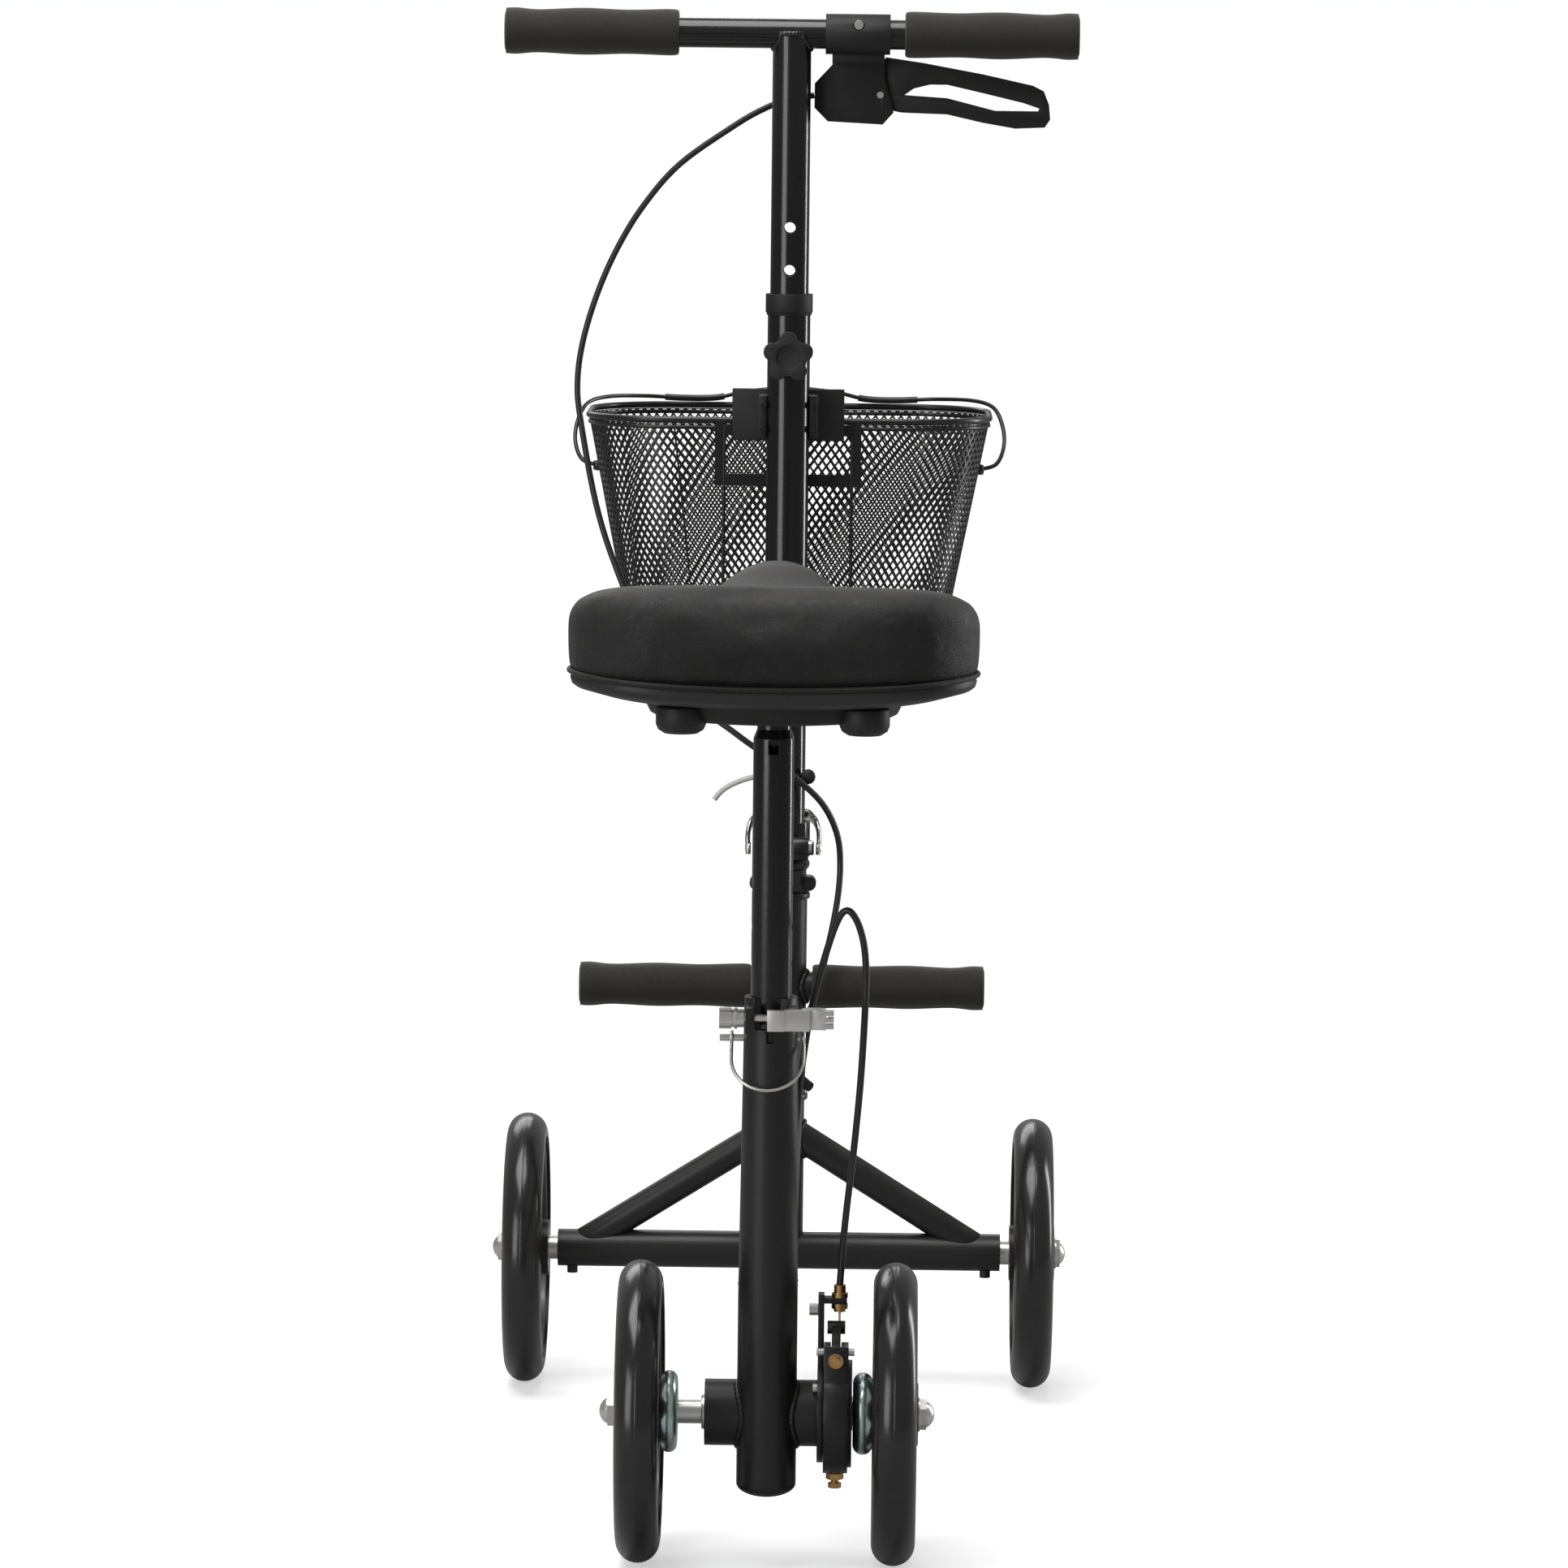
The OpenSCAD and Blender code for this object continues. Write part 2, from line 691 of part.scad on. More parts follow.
// Bright over-centre bail that holds the column upright
module fold_latch() {
    x = 26.3;
    low = fold_z - 5;
    high = fold_z + 14;
    y = front_y + 2;
    arch_y = front_y + 26;
    color("silver") {
        both_sides() {
            along_x(-x - 2.4, -22, y, low, 2.5);
            hull() {
                along_x(-x - 2.4, -x + 2.4, y, low, 5, $fn = 32);
                along_x(-x - 2.4, -x + 2.4, y + 6, high, 6, $fn = 32);
            }
            hull() {
                along_x(-x - 2.4, -x + 2.4, y + 6, high, 6, $fn = 32);
                along_x(-x + 4, -x + 9, arch_y, high + 2, 5, $fn = 32);
            }
        }
        along_x(-x + 4, x - 4, arch_y, high + 2, 5);
    }
}

// ---- column ----

module column_tube() {
    color("#2c2c2e") difference() {
        union() {
            along_z(fold_z + 0.4, fold_z + 16, 0, front_y, base_r);
            along_z(fold_z + 14, column_top, 0, front_y, column_r);
            block([-knuckle_half, hinge_y, fold_z + 0.4],
                [knuckle_half, hinge_y + 12, fold_z + 7]);
            // catch for the latch
            block([-6, front_y + 14, fold_z + 21.8], [6, front_y + 29, fold_z + 26]);
            // boss for the height knob
            along_y(front_y - column_r - 5, front_y - column_r + 2, 0, knob_z, 8);
        }
        along_x(-30, 30, hinge_y, fold_z, knuckle_r + 0.6);
        along_z(fold_z + 16, column_top + 1, 0, front_y, stem_r + run);
        along_y(front_y - 30, front_y, 0, knob_z, 4 + run);
    }
    color("#2c2c2e") difference() {
        union() {
            along_x(-knuckle_half, knuckle_half, hinge_y, fold_z, knuckle_r);
            block([-knuckle_half, hinge_y, fold_z + 0.4],
                [knuckle_half, hinge_y + 9, fold_z + knuckle_r]);
        }
        along_x(-10, 10, hinge_y, fold_z, pin_r + run);
    }
}

module column_collar() {
    color("#2a2a2a") difference() {
        union() {
            along_z(column_top - 8, column_top + 6, 0, front_y, 17.6);
            along_z(column_top - 10, column_top - 8, 0, front_y, 16.8);
        }
        along_z(column_top - 11, column_top + eps, 0, front_y, column_r + eps);
        along_z(column_top - 1, column_top + 7, 0, front_y, stem_r + run);
    }
}

// Star knob on a threaded stud, on the rear of the column
module height_knob() {
    face = front_y - column_r - 5.3;
    color("#3a3a3c") {
        along_y(face - 2, front_y - stem_r - 0.3, 0, knob_z, 4);
        difference() {
            union() {
                along_y(face - 14, face, 0, knob_z, 14);
                for (a = [90 : 72 : 378]) along_y(face - 14, face - 2, 12.5 * cos(a),
                    knob_z + 12.5 * sin(a), 6.5);
            }
            along_y(face - 15, face - 12, 0, knob_z, 9);
        }
    }
}

module basket_bracket() {
    color("#1a1a1c") {
        difference() {
            union() {
                block([-42, front_y + 16.2, 713], [42, front_y + 19.2, 752]);
                block([-22, front_y - 4, 716], [22, front_y + 17, 748]);
                block([-30, front_y + 22.2, 713], [30, front_y + 24.2, 741]);
                block([-30, front_y + 19, 713], [30, front_y + 23, 716]);
            }
            along_z(700, 760, 0, front_y, column_r + eps);
        }
    }
}

module bracket_bolts() {
    color("#161616") for (z = [723, 741]) both_sides() {
        along_y(front_y - 7, front_y - 4.1, 18.5, z, 2.4);
    }
}

module cable_tie() {
    z = 463;
    color("#cfcfc8") {
        difference() {
            along_z(z - 2, z + 2, 0, front_y, column_r + 1.5);
            along_z(z - 3, z + 3, 0, front_y, column_r + eps);
        }
        block([15, front_y - 14, z - 3.5], [22, front_y - 8, z + 3.5]);
        rod([-15, front_y - 9, z - 1], [-52, front_y - 12, 444], 1.2);
    }
}

// ---- handlebar ----

module stem_tube() {
    color("#2c2c2e") difference() {
        along_z(stem_low, bar_z, 0, front_y, stem_r);
        along_z(stem_low - 1, bar_z - 20, 0, front_y, stem_r - 2.5);
        along_x(-20, 20, front_y, bar_z, bar_r + eps);
        for (k = [-3 : 3]) along_y(front_y - 20, front_y + 20, 0,
            knob_z + k * hole_pitch, 4.25);
    }
}

module handlebar() {
    half = bar_span / 2 - 5;
    color("#2c2c2e") difference() {
        along_x(-half, half, front_y, bar_z, bar_r);
        along_x(-half - 1, half + 1, front_y, bar_z, bar_r - 2);
    }
}

module hand_grips() {
    color("#3a3733") both_sides()
        foam_grip(84, bar_span / 2, bar_z, bar_r, 16.6, 17.4);
}

// Lever housing, clamped round the bar and hanging in front of it
module brake_bracket() {
    color("#2e2d2b") difference() {
        union() {
            along_x(25, 73, front_y, bar_z, 15);
            translate([0, lever_y + 9, 0]) rotate([90, 0, 0]) linear_extrude(18)
                polygon([[30, 1008], [69, 1008], [69, 985], [76, 959], [68, 950],
                    [27, 952], [17, 962], [17, 980], [30, 994]]);
            block([30, front_y, 996], [69, lever_y, 1010]);
        }
        along_x(20, 80, front_y, bar_z, bar_r + eps);
        // slot for the lever and the cable's way out
        block([58, lever_y - 5.4, 945], [80, lever_y + 5.4, 1003]);
        along_y(lever_y - 10, lever_y + 10, lever_pivot[0] - 6, lever_pivot[1], 2.5 + eps);
        along_x(10, 60, lever_y, 971, 1.5);
        along_y(front_y - 16, front_y - 12.5, 49.5, bar_z + 7, 4.4);
    }
}

module lever_fasteners() {
    color("silver") {
        along_y(front_y - 14.2, front_y - 12.6, 49.5, bar_z + 7, 3.4);
        along_y(lever_y - 9.5, lever_y + 9.5, lever_pivot[0] - 6, lever_pivot[1], 2.5);
    }
}

// Loop lever with a finger opening
module brake_lever() {
    px = lever_pivot[0] - 6;
    pz = lever_pivot[1];
    color("#2e2d2b") difference() {
        union() {
            translate([0, lever_y + 5, 0]) rotate([90, 0, 0]) linear_extrude(10)
                difference() {
                    polygon([[62, 986], [70, 1000], [98, 996], [143, 988], [180, 980],
                        [188, 976], [192, 966], [193, 955], [189, 949], [167, 948],
                        [143, 952], [116, 958], [82, 959], [66, 962], [62, 966]]);
                    polygon([[84, 972], [91, 977], [103, 980], [116, 980], [143, 974],
                        [173, 967], [185, 963], [184, 961], [152, 961], [116, 970],
                        [100, 971]]);
                }
            along_y(lever_y - 5, lever_y + 5, px, pz, 7);
        }
        along_y(lever_y - 6, lever_y + 6, px, pz, 2.5 + run);
    }
}

// ---- basket ----

corner_steps = 10;
// Rounded rectangle in plan whose rear side stays at y = rear
function outline(w, d, r, rear, z) = [for (q = [0 : 3], k = [0 : corner_steps])
    let(a = 90 * (q + k / corner_steps),
        cx = (w / 2 - r) * ((q == 0 || q == 3) ? 1 : -1),
        cy = q < 2 ? rear + d - r : rear + r)
    [cx + r * cos(a), cy + r * sin(a), z]];
module tapered(top, bottom) {
    m = len(top);
    polyhedron(concat(bottom, top), concat(
        [for (k = [0 : m - 1]) let(j = (k + 1) % m) [k, m + k, m + j, j]],
        [[for (k = [0 : m - 1]) k]], [[for (k = [m - 1 : -1 : 0]) m + k]]));
}
basket_rear = front_y + basket_gap + 2;
wall = 1.8;                        // thickness of the mesh walls
corner_r = 66;
mesh_top = basket_top - 2.7;
mesh_low = 0.77;                   // floor's size against the rim's
module basket_mesh() {
    w = basket_w - 5;
    d = basket_d - 5;
    color("#1c1c1c") difference() {
        tapered(outline(w, d, corner_r, basket_rear, mesh_top),
            outline(w * mesh_low, d * mesh_low + 14, corner_r * mesh_low, basket_rear,
                basket_floor));
        tapered(outline(w - 2 * wall, d - 2 * wall, corner_r - wall,
                basket_rear + wall, mesh_top + 0.1),
            outline(w * mesh_low - 2 * wall, d * mesh_low + 14 - 2 * wall,
                corner_r * mesh_low - wall, basket_rear + wall, basket_floor + wall));
    }
}

// Rim wire, the strap frame on the rear wall, and the hook that hangs on the bracket
module basket_frame() {
    r = 2.5;
    w = basket_w / 2 - r;
    low = front_y + basket_gap + r;
    high = front_y + basket_gap + basket_d - r;
    c = corner_r;
    z = basket_top;
    color("#1a1a1a") {
        for (y = [low, high]) along_x(-w + c, w - c, y, z, r);
        for (x = [-w, w]) along_y(low + c, high - c, x, z, r);
        for (q = [0 : 3]) translate([(w - c) * ((q == 0 || q == 3) ? 1 : -1),
            q < 2 ? high - c : low + c, z]) rotate([0, 0, 90 * q])
            rotate_extrude(angle = 90) translate([c, 0]) circle(r = r);
        y0 = front_y + basket_gap - 0.3;
        y1 = y0 + 1.8;
        both_sides() block([47, y0, 678], [55, y1, basket_top]);
        block([-55, y0, 678], [55, y1, 687]);
        block([-50, y0, 716], [50, y1, 724]);
        block([-26, y0, 716], [26, y1, 748]);
        block([-26, front_y + 19.9, 745], [26, y1, 748]);
        block([-26, front_y + 19.9, 719], [26, front_y + 21.6, 748]);
    }
}

// Carrying handle, folded forward onto the rim
bail_y = basket_rear + basket_d * 0.45;
bail_z = 686;
module basket_bail() {
    front = front_y + basket_gap + basket_d - 6;
    half = [[147.5, bail_y, bail_z], [158, bail_y + 3, 690], [164, bail_y + 12, 703],
        [163, bail_y + 26, 718], [156, bail_y + 44, 731], [140, bail_y + 66, 735],
        [112, front - 8, 734], [84, front - 2, 732.5], [58, front, 733],
        [34, front, 738]];
    other = [for (i = [len(half) - 1 : -1 : 0]) [-half[i].x, half[i].y, half[i].z]];
    line = smooth(concat(half, [[0, front, 741]], other));
    color("#1a1a1a") sweep(line, 0, len(line) - 1, 1.5, 8);
}

// ---- saddle ----

post_low = 255;
pan_low = 575;                     // underside of the pan below the base
base_low = 586;
base_high = 599.5;
rail_z = 582;
post_pitch = 25;                   // spacing of the holes that set the seat's height
post_high = 580;
module seat_post() {
    color("#262628") difference() {
        union() {
            along_z(post_low, post_high - 22, 0, post_y, post_r);
            translate([0, post_y, post_high - 22])
                cylinder(h = 6, r1 = post_r, r2 = 11.2);
            along_z(post_high - 16, post_high, 0, post_y, 11.2);
        }
        along_z(post_low - 1, post_high - 26, 0, post_y, post_r - 2.6);
        for (k = [-2 : 4]) along_x(-20, 20, post_y, hitch_z + k * post_pitch, 2.7);
        // window at the back, below the taper
        block([-3.5, post_y - post_r - 1, post_high - 32],
            [3.5, post_y - post_r + 3, post_high - 23]);
    }
}

module saddle_clamp() {
    color("#3a3a3c") difference() {
        union() {
            along_z(post_high - 6, post_high + 4, 0, post_y, 14);
            block([-27, post_y - 12, rail_z - 6], [27, post_y + 12, rail_z + 6]);
            along_x(-32, 32, post_y, rail_z, 4);
        }
        along_z(post_high - 7, post_high + eps, 0, post_y, 11.2 + eps);
        for (x = [-22, 22]) along_y(post_y - 20, post_y + 20, x, rail_z, 3.5 + eps);
    }
}

module saddle_rails() {
    z = rail_z;
    line = smooth([[18, post_y + 96, z + 1], [22, post_y + 72, z],
        [22, post_y + 40, z], [22, post_y, z], [22, post_y - 25, z],
        [24, post_y - 42, z], [28, post_y - 54, z]]);
    color("silver") both_sides() sweep(line, 0, len(line) - 1, 3.5, 12);
}

// Outline discs that give the saddle's plan
module saddle_plan(inset, low, high, edge) {
    rear = post_y - saddle_back;
    hull() {
        both_sides() soft_disc(saddle_w / 2 - 68, rear + 68, 68 - inset, low, high, edge);
        soft_disc(0, rear + 96, 92 - inset, low, high, edge);
    }
    hull() {
        soft_disc(0, rear + 120, 84 - inset, low, high, edge);
        soft_disc(0, rear + saddle_len - 34, 34 - inset, low, high, edge);
    }
}

// Disc with a rounded top edge
module soft_disc(x, y, r, low, high, edge) {
    translate([x, y, 0]) {
        translate([0, 0, low]) cylinder(h = high - low - edge, r = r, $fn = 40);
        translate([0, 0, high - edge]) cylinder(h = edge * 0.6, r1 = r,
            r2 = r - edge * 0.3, $fn = 40);
        translate([0, 0, high - edge * 0.4 - 0.01]) cylinder(h = edge * 0.4,
            r1 = r - edge * 0.3, r2 = r - edge, $fn = 40);
    }
}

module saddle_cushion() {
    color("#262625") saddle_plan(0, 600, saddle_top, 18);
}

bumper_x = 60;
bumper_y = post_y - 74;
bumper_r = 16.5;
module saddle_base() {
    color("#323233") difference() {
        union() {
            saddle_plan(6, base_low, base_high, 2);
            // pan that covers the rails
            along_z(pan_low, base_low + 1, 0, post_y - 14, 84);
        }
        both_sides() along_z(pan_low - 1, base_low, bumper_x, bumper_y, bumper_r + eps);
        // hollow for the clamp and the rails
        block([-34, post_y - 60, pan_low - 1], [34, post_y + 102, base_low + 3]);
    }
}

// Domed rubber feet under the pan
module saddle_bumpers() {
    color("#1d1d1d") both_sides() translate([bumper_x, bumper_y, base_low - 18])
        rotate_extrude() polygon([[0, 0], [11, 0], [15, 2.5], [bumper_r, 6],
            [bumper_r, 18 - eps], [0, 18 - eps]]);
}

main_beam();
seat_tube();
axle_housing();
rear_bearings();
head_tube();
headset_cups();
foot_bar();
foot_grips();
brake_back_plate();
brake_case();
brake_band();
brake_screws();
brake_adjusters();
cable_stop();
clamp_skewer();
cable_lower();
steerer();
front_axle_tube();
front_axle_rod();
axle_braces();
front_bearings();
fold_base();
fold_pin();
column_tube();
column_collar();
basket_bracket();
bracket_bolts();
cable_tie();
cable_middle();
fold_latch();
height_knob();
stem_tube();
handlebar();
hand_grips();
brake_bracket();
lever_fasteners();
cable_upper();
brake_lever();
basket_mesh();
basket_frame();
basket_bail();
seat_post();
saddle_clamp();
saddle_rails();
saddle_base();
saddle_cushion();
saddle_bumpers();
brake_arm();
hitch_pin();
hitch_ring();
clamp_lever();
front_tyre_left();
front_rim_left();
front_tyre_right();
front_rim_right();
rear_tyres();
rear_rims();
rear_shaft();
hub_flanges();
brake_drum();
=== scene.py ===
import bpy
import bmesh
import json
from math import atan2, cos, hypot, pi, radians, sin, sqrt
from mathutils import Matrix, Vector


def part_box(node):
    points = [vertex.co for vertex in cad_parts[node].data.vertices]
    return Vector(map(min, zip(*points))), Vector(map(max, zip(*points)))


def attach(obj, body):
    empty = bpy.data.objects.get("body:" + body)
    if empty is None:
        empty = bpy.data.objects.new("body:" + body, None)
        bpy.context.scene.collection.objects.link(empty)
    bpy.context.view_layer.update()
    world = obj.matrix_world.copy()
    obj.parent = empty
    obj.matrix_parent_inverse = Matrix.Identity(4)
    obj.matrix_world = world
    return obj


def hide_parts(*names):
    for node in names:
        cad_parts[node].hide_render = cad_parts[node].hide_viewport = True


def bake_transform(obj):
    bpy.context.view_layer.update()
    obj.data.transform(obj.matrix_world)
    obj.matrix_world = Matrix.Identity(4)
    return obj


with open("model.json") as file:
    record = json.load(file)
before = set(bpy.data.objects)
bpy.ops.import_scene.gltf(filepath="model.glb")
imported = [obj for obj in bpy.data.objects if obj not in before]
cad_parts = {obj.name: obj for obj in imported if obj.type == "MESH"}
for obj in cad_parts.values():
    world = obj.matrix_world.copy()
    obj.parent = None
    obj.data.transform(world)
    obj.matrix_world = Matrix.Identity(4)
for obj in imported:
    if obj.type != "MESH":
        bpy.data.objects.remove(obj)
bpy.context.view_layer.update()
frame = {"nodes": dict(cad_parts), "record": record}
nodes = frame["nodes"]
print("frame loaded:", len(nodes), "nodes")

# places taken from the frame, in metres
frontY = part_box("steerer")[0].lerp(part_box("steerer")[1], 0.5).y
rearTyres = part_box("rear_tyres")
rearY = (rearTyres[0].y + rearTyres[1].y) / 2
postY = (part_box("seat_post")[0].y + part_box("seat_post")[1].y) / 2
wheelR = rearTyres[1].z / 2
bothSides = ((-1, "Left"), (1, "Right"))

# camera

cameraSet = {"place": (0.0594, -5.303, 1.0656), "down": 6.24, "left": 0.61, "roll": 0.635,
             "lens": 171.4}
camData = bpy.data.cameras.new("camera")
camData.lens = cameraSet["lens"]
camData.sensor_width = 36
camera = bpy.data.objects.new("camera", camData)
bpy.context.scene.collection.objects.link(camera)
camera.matrix_world = (Matrix.Translation(cameraSet["place"])
                       @ Matrix.Rotation(radians(cameraSet["left"]), 4, "Z")
                       @ Matrix.Rotation(radians(90 - cameraSet["down"]), 4, "X")
                       @ Matrix.Rotation(radians(cameraSet["roll"]), 4, "Z"))
bpy.context.scene.camera = camera
bpy.context.scene.view_settings.view_transform = "Standard"

# mesh helpers


def addMesh(name, bm, smooth=True):
    bmesh.ops.remove_doubles(bm, verts=bm.verts, dist=1e-6)
    bmesh.ops.recalc_face_normals(bm, faces=bm.faces)
    mesh = bpy.data.meshes.new(name)
    bm.to_mesh(mesh)
    bm.free()
    mesh.polygons.foreach_set("use_smooth", [smooth] * len(mesh.polygons))
    return addObject(name, mesh)


def addObject(name, data):
    obj = bpy.data.objects.new(name, data)
    bpy.context.scene.collection.objects.link(obj)
    return obj


def freeze(obj):  # modifiers and curve settings become plain mesh
    depth = bpy.context.evaluated_depsgraph_get()
    mesh = bpy.data.meshes.new_from_object(obj.evaluated_get(depth), depsgraph=depth)
    name = obj.name
    bpy.data.objects.remove(obj)
    mesh.name = name
    return addObject(name, mesh)


def place(obj, body, finish, replaced=(), slot=None):
    obj.data.materials.clear()
    obj.data.materials.append(finish)
    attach(obj, body)
    if replaced:
        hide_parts(*replaced)
    return obj


def smoothLine(points, steps):  # Catmull-Rom curve through the points
    p = [Vector(q) for q in points]
    line = []
    for i in range(len(p) - 1):
        a, b, c, d = p[max(i - 1, 0)], p[i], p[i + 1], p[min(i + 2, len(p) - 1)]
        for k in range(steps):
            t = k / steps
            line.append(0.5 * (2 * b + (c - a) * t + (2 * a - 5 * b + 4 * c - d) * t * t
                               + (3 * b - a - 3 * c + d) * t ** 3))
    return line + [p[-1]]


def tube(name, line, radius, sides=3, closed=False, swell=None):
    data = bpy.data.curves.new(name, "CURVE")
    data.dimensions = "3D"
    data.bevel_depth = radius
    data.bevel_resolution = sides
    data.use_fill_caps = not closed
    spline = data.splines.new("POLY")
    spline.points.add(len(line) - 1)
    spline.use_cyclic_u = closed
    for i, (point, q) in enumerate(zip(spline.points, line)):
        point.co = (*q, 1)
        point.radius = swell(i) if swell else 1
    obj = freeze(addObject(name, data))
    obj.data.polygons.foreach_set("use_smooth", [True] * len(obj.data.polygons))
    return obj


def lathe(name, profile, place, axis="X", steps=64):  # profile: (along, radius)
    bm = bmesh.new()
    turn = {"X": lambda a, r: (a, 0, r), "Y": lambda a, r: (0, a, r), "Z": lambda a, r: (r, 0, a)}
    verts = [bm.verts.new(turn[axis](a, r)) for a, r in profile]
    edges = [bm.edges.new(pair) for pair in zip(verts, verts[1:])]
    spinAxis = {"X": (1, 0, 0), "Y": (0, 1, 0), "Z": (0, 0, 1)}[axis]
    bmesh.ops.spin(bm, geom=verts + edges, cent=(0, 0, 0), axis=spinAxis, angle=2 * pi,
                   steps=steps, use_merge=True)
    bmesh.ops.remove_doubles(bm, verts=bm.verts, dist=1e-6)
    bmesh.ops.translate(bm, verts=bm.verts, vec=place)
    return addMesh(name, bm)


def softened(node, width, segments=2, angle=35):  # a CAD node's copy with rounded edges
    bm = bmesh.new()
    bm.from_mesh(nodes[node].data)
    bmesh.ops.remove_doubles(bm, verts=bm.verts, dist=2e-6)
    bmesh.ops.dissolve_limit(bm, angle_limit=radians(0.6), verts=bm.verts, edges=bm.edges)
    obj = addMesh(node + "_soft", bm)
    cut = obj.modifiers.new("round", "BEVEL")
    cut.width = width
    cut.segments = segments
    cut.limit_method = "ANGLE"
    cut.angle_limit = radians(angle)
    cut.harden_normals = False
    obj = freeze(obj)
    obj.data.shade_smooth()
    obj.data.set_sharp_from_angle(angle=radians(38))
    return obj


# shader helpers


def plug(tree, slot, value):
    if isinstance(value, Sock):
        tree.links.new(value.out, slot)
    elif slot.type == "RGBA" and len(value) == 3:
        slot.default_value = (*value, 1)
    else:
        slot.default_value = value


class Sock:  # a node's output that takes part in sums
    def __init__(self, tree, out):
        self.tree = tree
        self.out = out

    def maths(self, kind, *others, flip=False):
        made = self.tree.nodes.new("ShaderNodeMath")
        made.operation = kind
        values = [*others, self] if flip else [self, *others]
        for slot, value in zip(made.inputs, values):
            plug(self.tree, slot, value)
        return Sock(self.tree, made.outputs[0])

    def __add__(self, other): return self.maths("ADD", other)
    def __radd__(self, other): return self.maths("ADD", other, flip=True)
    def __sub__(self, other): return self.maths("SUBTRACT", other)
    def __rsub__(self, other): return self.maths("SUBTRACT", other, flip=True)
    def __mul__(self, other): return self.maths("MULTIPLY", other)
    def __rmul__(self, other): return self.maths("MULTIPLY", other, flip=True)
    def __truediv__(self, other): return self.maths("DIVIDE", other)
    def __pow__(self, other): return self.maths("POWER", other)
    def size(self): return self.maths("ABSOLUTE")
    def limited(self): return self.maths("MINIMUM", 1.0).maths("MAXIMUM", 0.0)


class Finish:  # one material and the nodes made for it
    def __init__(self, name, **settings):
        self.mat = bpy.data.materials.new(name)
        self.mat.use_nodes = True
        self.tree = self.mat.node_tree
        self.shader = self.tree.nodes["Principled BSDF"]
        for key, value in settings.items():
            plug(self.tree, self.shader.inputs[key.replace("_", " ")], value)
        self.place = self.node("ShaderNodeTexCoord", out="Object")

    def node(self, kind, settings=None, inputs=None, out=0):
        made = self.tree.nodes.new(kind)
        for key, value in (settings or {}).items():
            if key == "stops":
                for stop, (at, shade) in zip(made.color_ramp.elements, value):
                    stop.position = at
                    stop.color = (shade, shade, shade, 1)
            else:
                setattr(made, key, value)
        for key, value in (inputs or {}).items():
            plug(self.tree, made.inputs[key], value)
        return Sock(self.tree, made.outputs[out])

    def noise(self, scale, detail=3, rough=0.55, at=None):
        return self.node("ShaderNodeTexNoise", None, {"Vector": at or self.place,
                         "Scale": scale, "Detail": detail, "Roughness": rough})

    def cells(self, scale, feature="F1", at=None):
        return self.node("ShaderNodeTexVoronoi", {"feature": feature},
                         {"Vector": at or self.place, "Scale": scale})

    def stretched(self, scale):
        return self.node("ShaderNodeMapping", None, {"Vector": self.place, "Scale": scale})

    def axes(self):
        made = self.tree.nodes.new("ShaderNodeSeparateXYZ")
        plug(self.tree, made.inputs[0], self.place)
        return [Sock(self.tree, out) for out in made.outputs]

    def ramp(self, value, low, high):
        return self.node("ShaderNodeMapRange", {"clamp": True},
                         {"Value": value, "From Min": low, "From Max": high})

    def mix(self, share, a, b):
        return self.node("ShaderNodeMix", {"data_type": "RGBA"}, {0: share, 6: a, 7: b}, out=2)

    def rounded(self, radius):  # normal with softened edges
        return self.node("ShaderNodeBevel", {"samples": 4}, {"Radius": radius})

    def edges(self, radius, sharpness=5.0):  # 1 on worn outer edges
        flat = self.node("ShaderNodeNewGeometry", out="Normal")
        same = self.node("ShaderNodeVectorMath", {"operation": "DOT_PRODUCT"},
                         {0: flat, 1: self.rounded(radius)}, out="Value")
        return ((1 - same) * sharpness).limited()

    def upward(self):  # 1 where a surface faces up and gathers dust
        made = self.tree.nodes.new("ShaderNodeSeparateXYZ")
        plug(self.tree, made.inputs[0], self.node("ShaderNodeNewGeometry", out="Normal"))
        return self.ramp(Sock(self.tree, made.outputs[2]), 0.3, 1.0)

    def bump(self, height, depth, normal=None):
        inputs = {"Height": height, "Distance": depth, "Strength": 1.0}
        if normal:
            inputs["Normal"] = normal
        return self.node("ShaderNodeBump", None, inputs)

    def feed(self, **links):
        for key, value in links.items():
            plug(self.tree, self.shader.inputs[key.replace("_", " ")], value)
        return self.mat


# finishes


def paintFinish(name, tone, gloss, peel, coat, edge=0.0007):
    f = Finish(name, Coat_Weight=coat, Coat_Roughness=0.08, Specular_IOR_Level=0.5)
    cloud = f.noise(9, 4)
    speck = f.ramp(f.noise(1400, 1), 0.66, 0.74)
    worn = f.edges(edge, 3.0) * f.ramp(f.noise(60, 3), 0.42, 0.62)
    dust = f.upward() * f.ramp(f.noise(25, 4), 0.45, 0.75)
    base = f.mix(cloud, tuple(c * 0.82 for c in tone), tuple(c * 1.22 for c in tone))
    base = f.mix(worn * 0.45, base, tuple(c * 2.6 + 0.02 for c in tone))
    base = f.mix(dust * 0.10 + speck * 0.08, base, (0.22, 0.21, 0.19))
    rough = gloss + cloud * 0.08 + dust * 0.14 + worn * 0.1 + speck * 0.1
    height = f.noise(peel, 2) + f.noise(peel * 5, 1) * 0.25
    return f.feed(Base_Color=base, Roughness=rough,
                  Normal=f.bump(height, 0.00006, f.rounded(edge)))


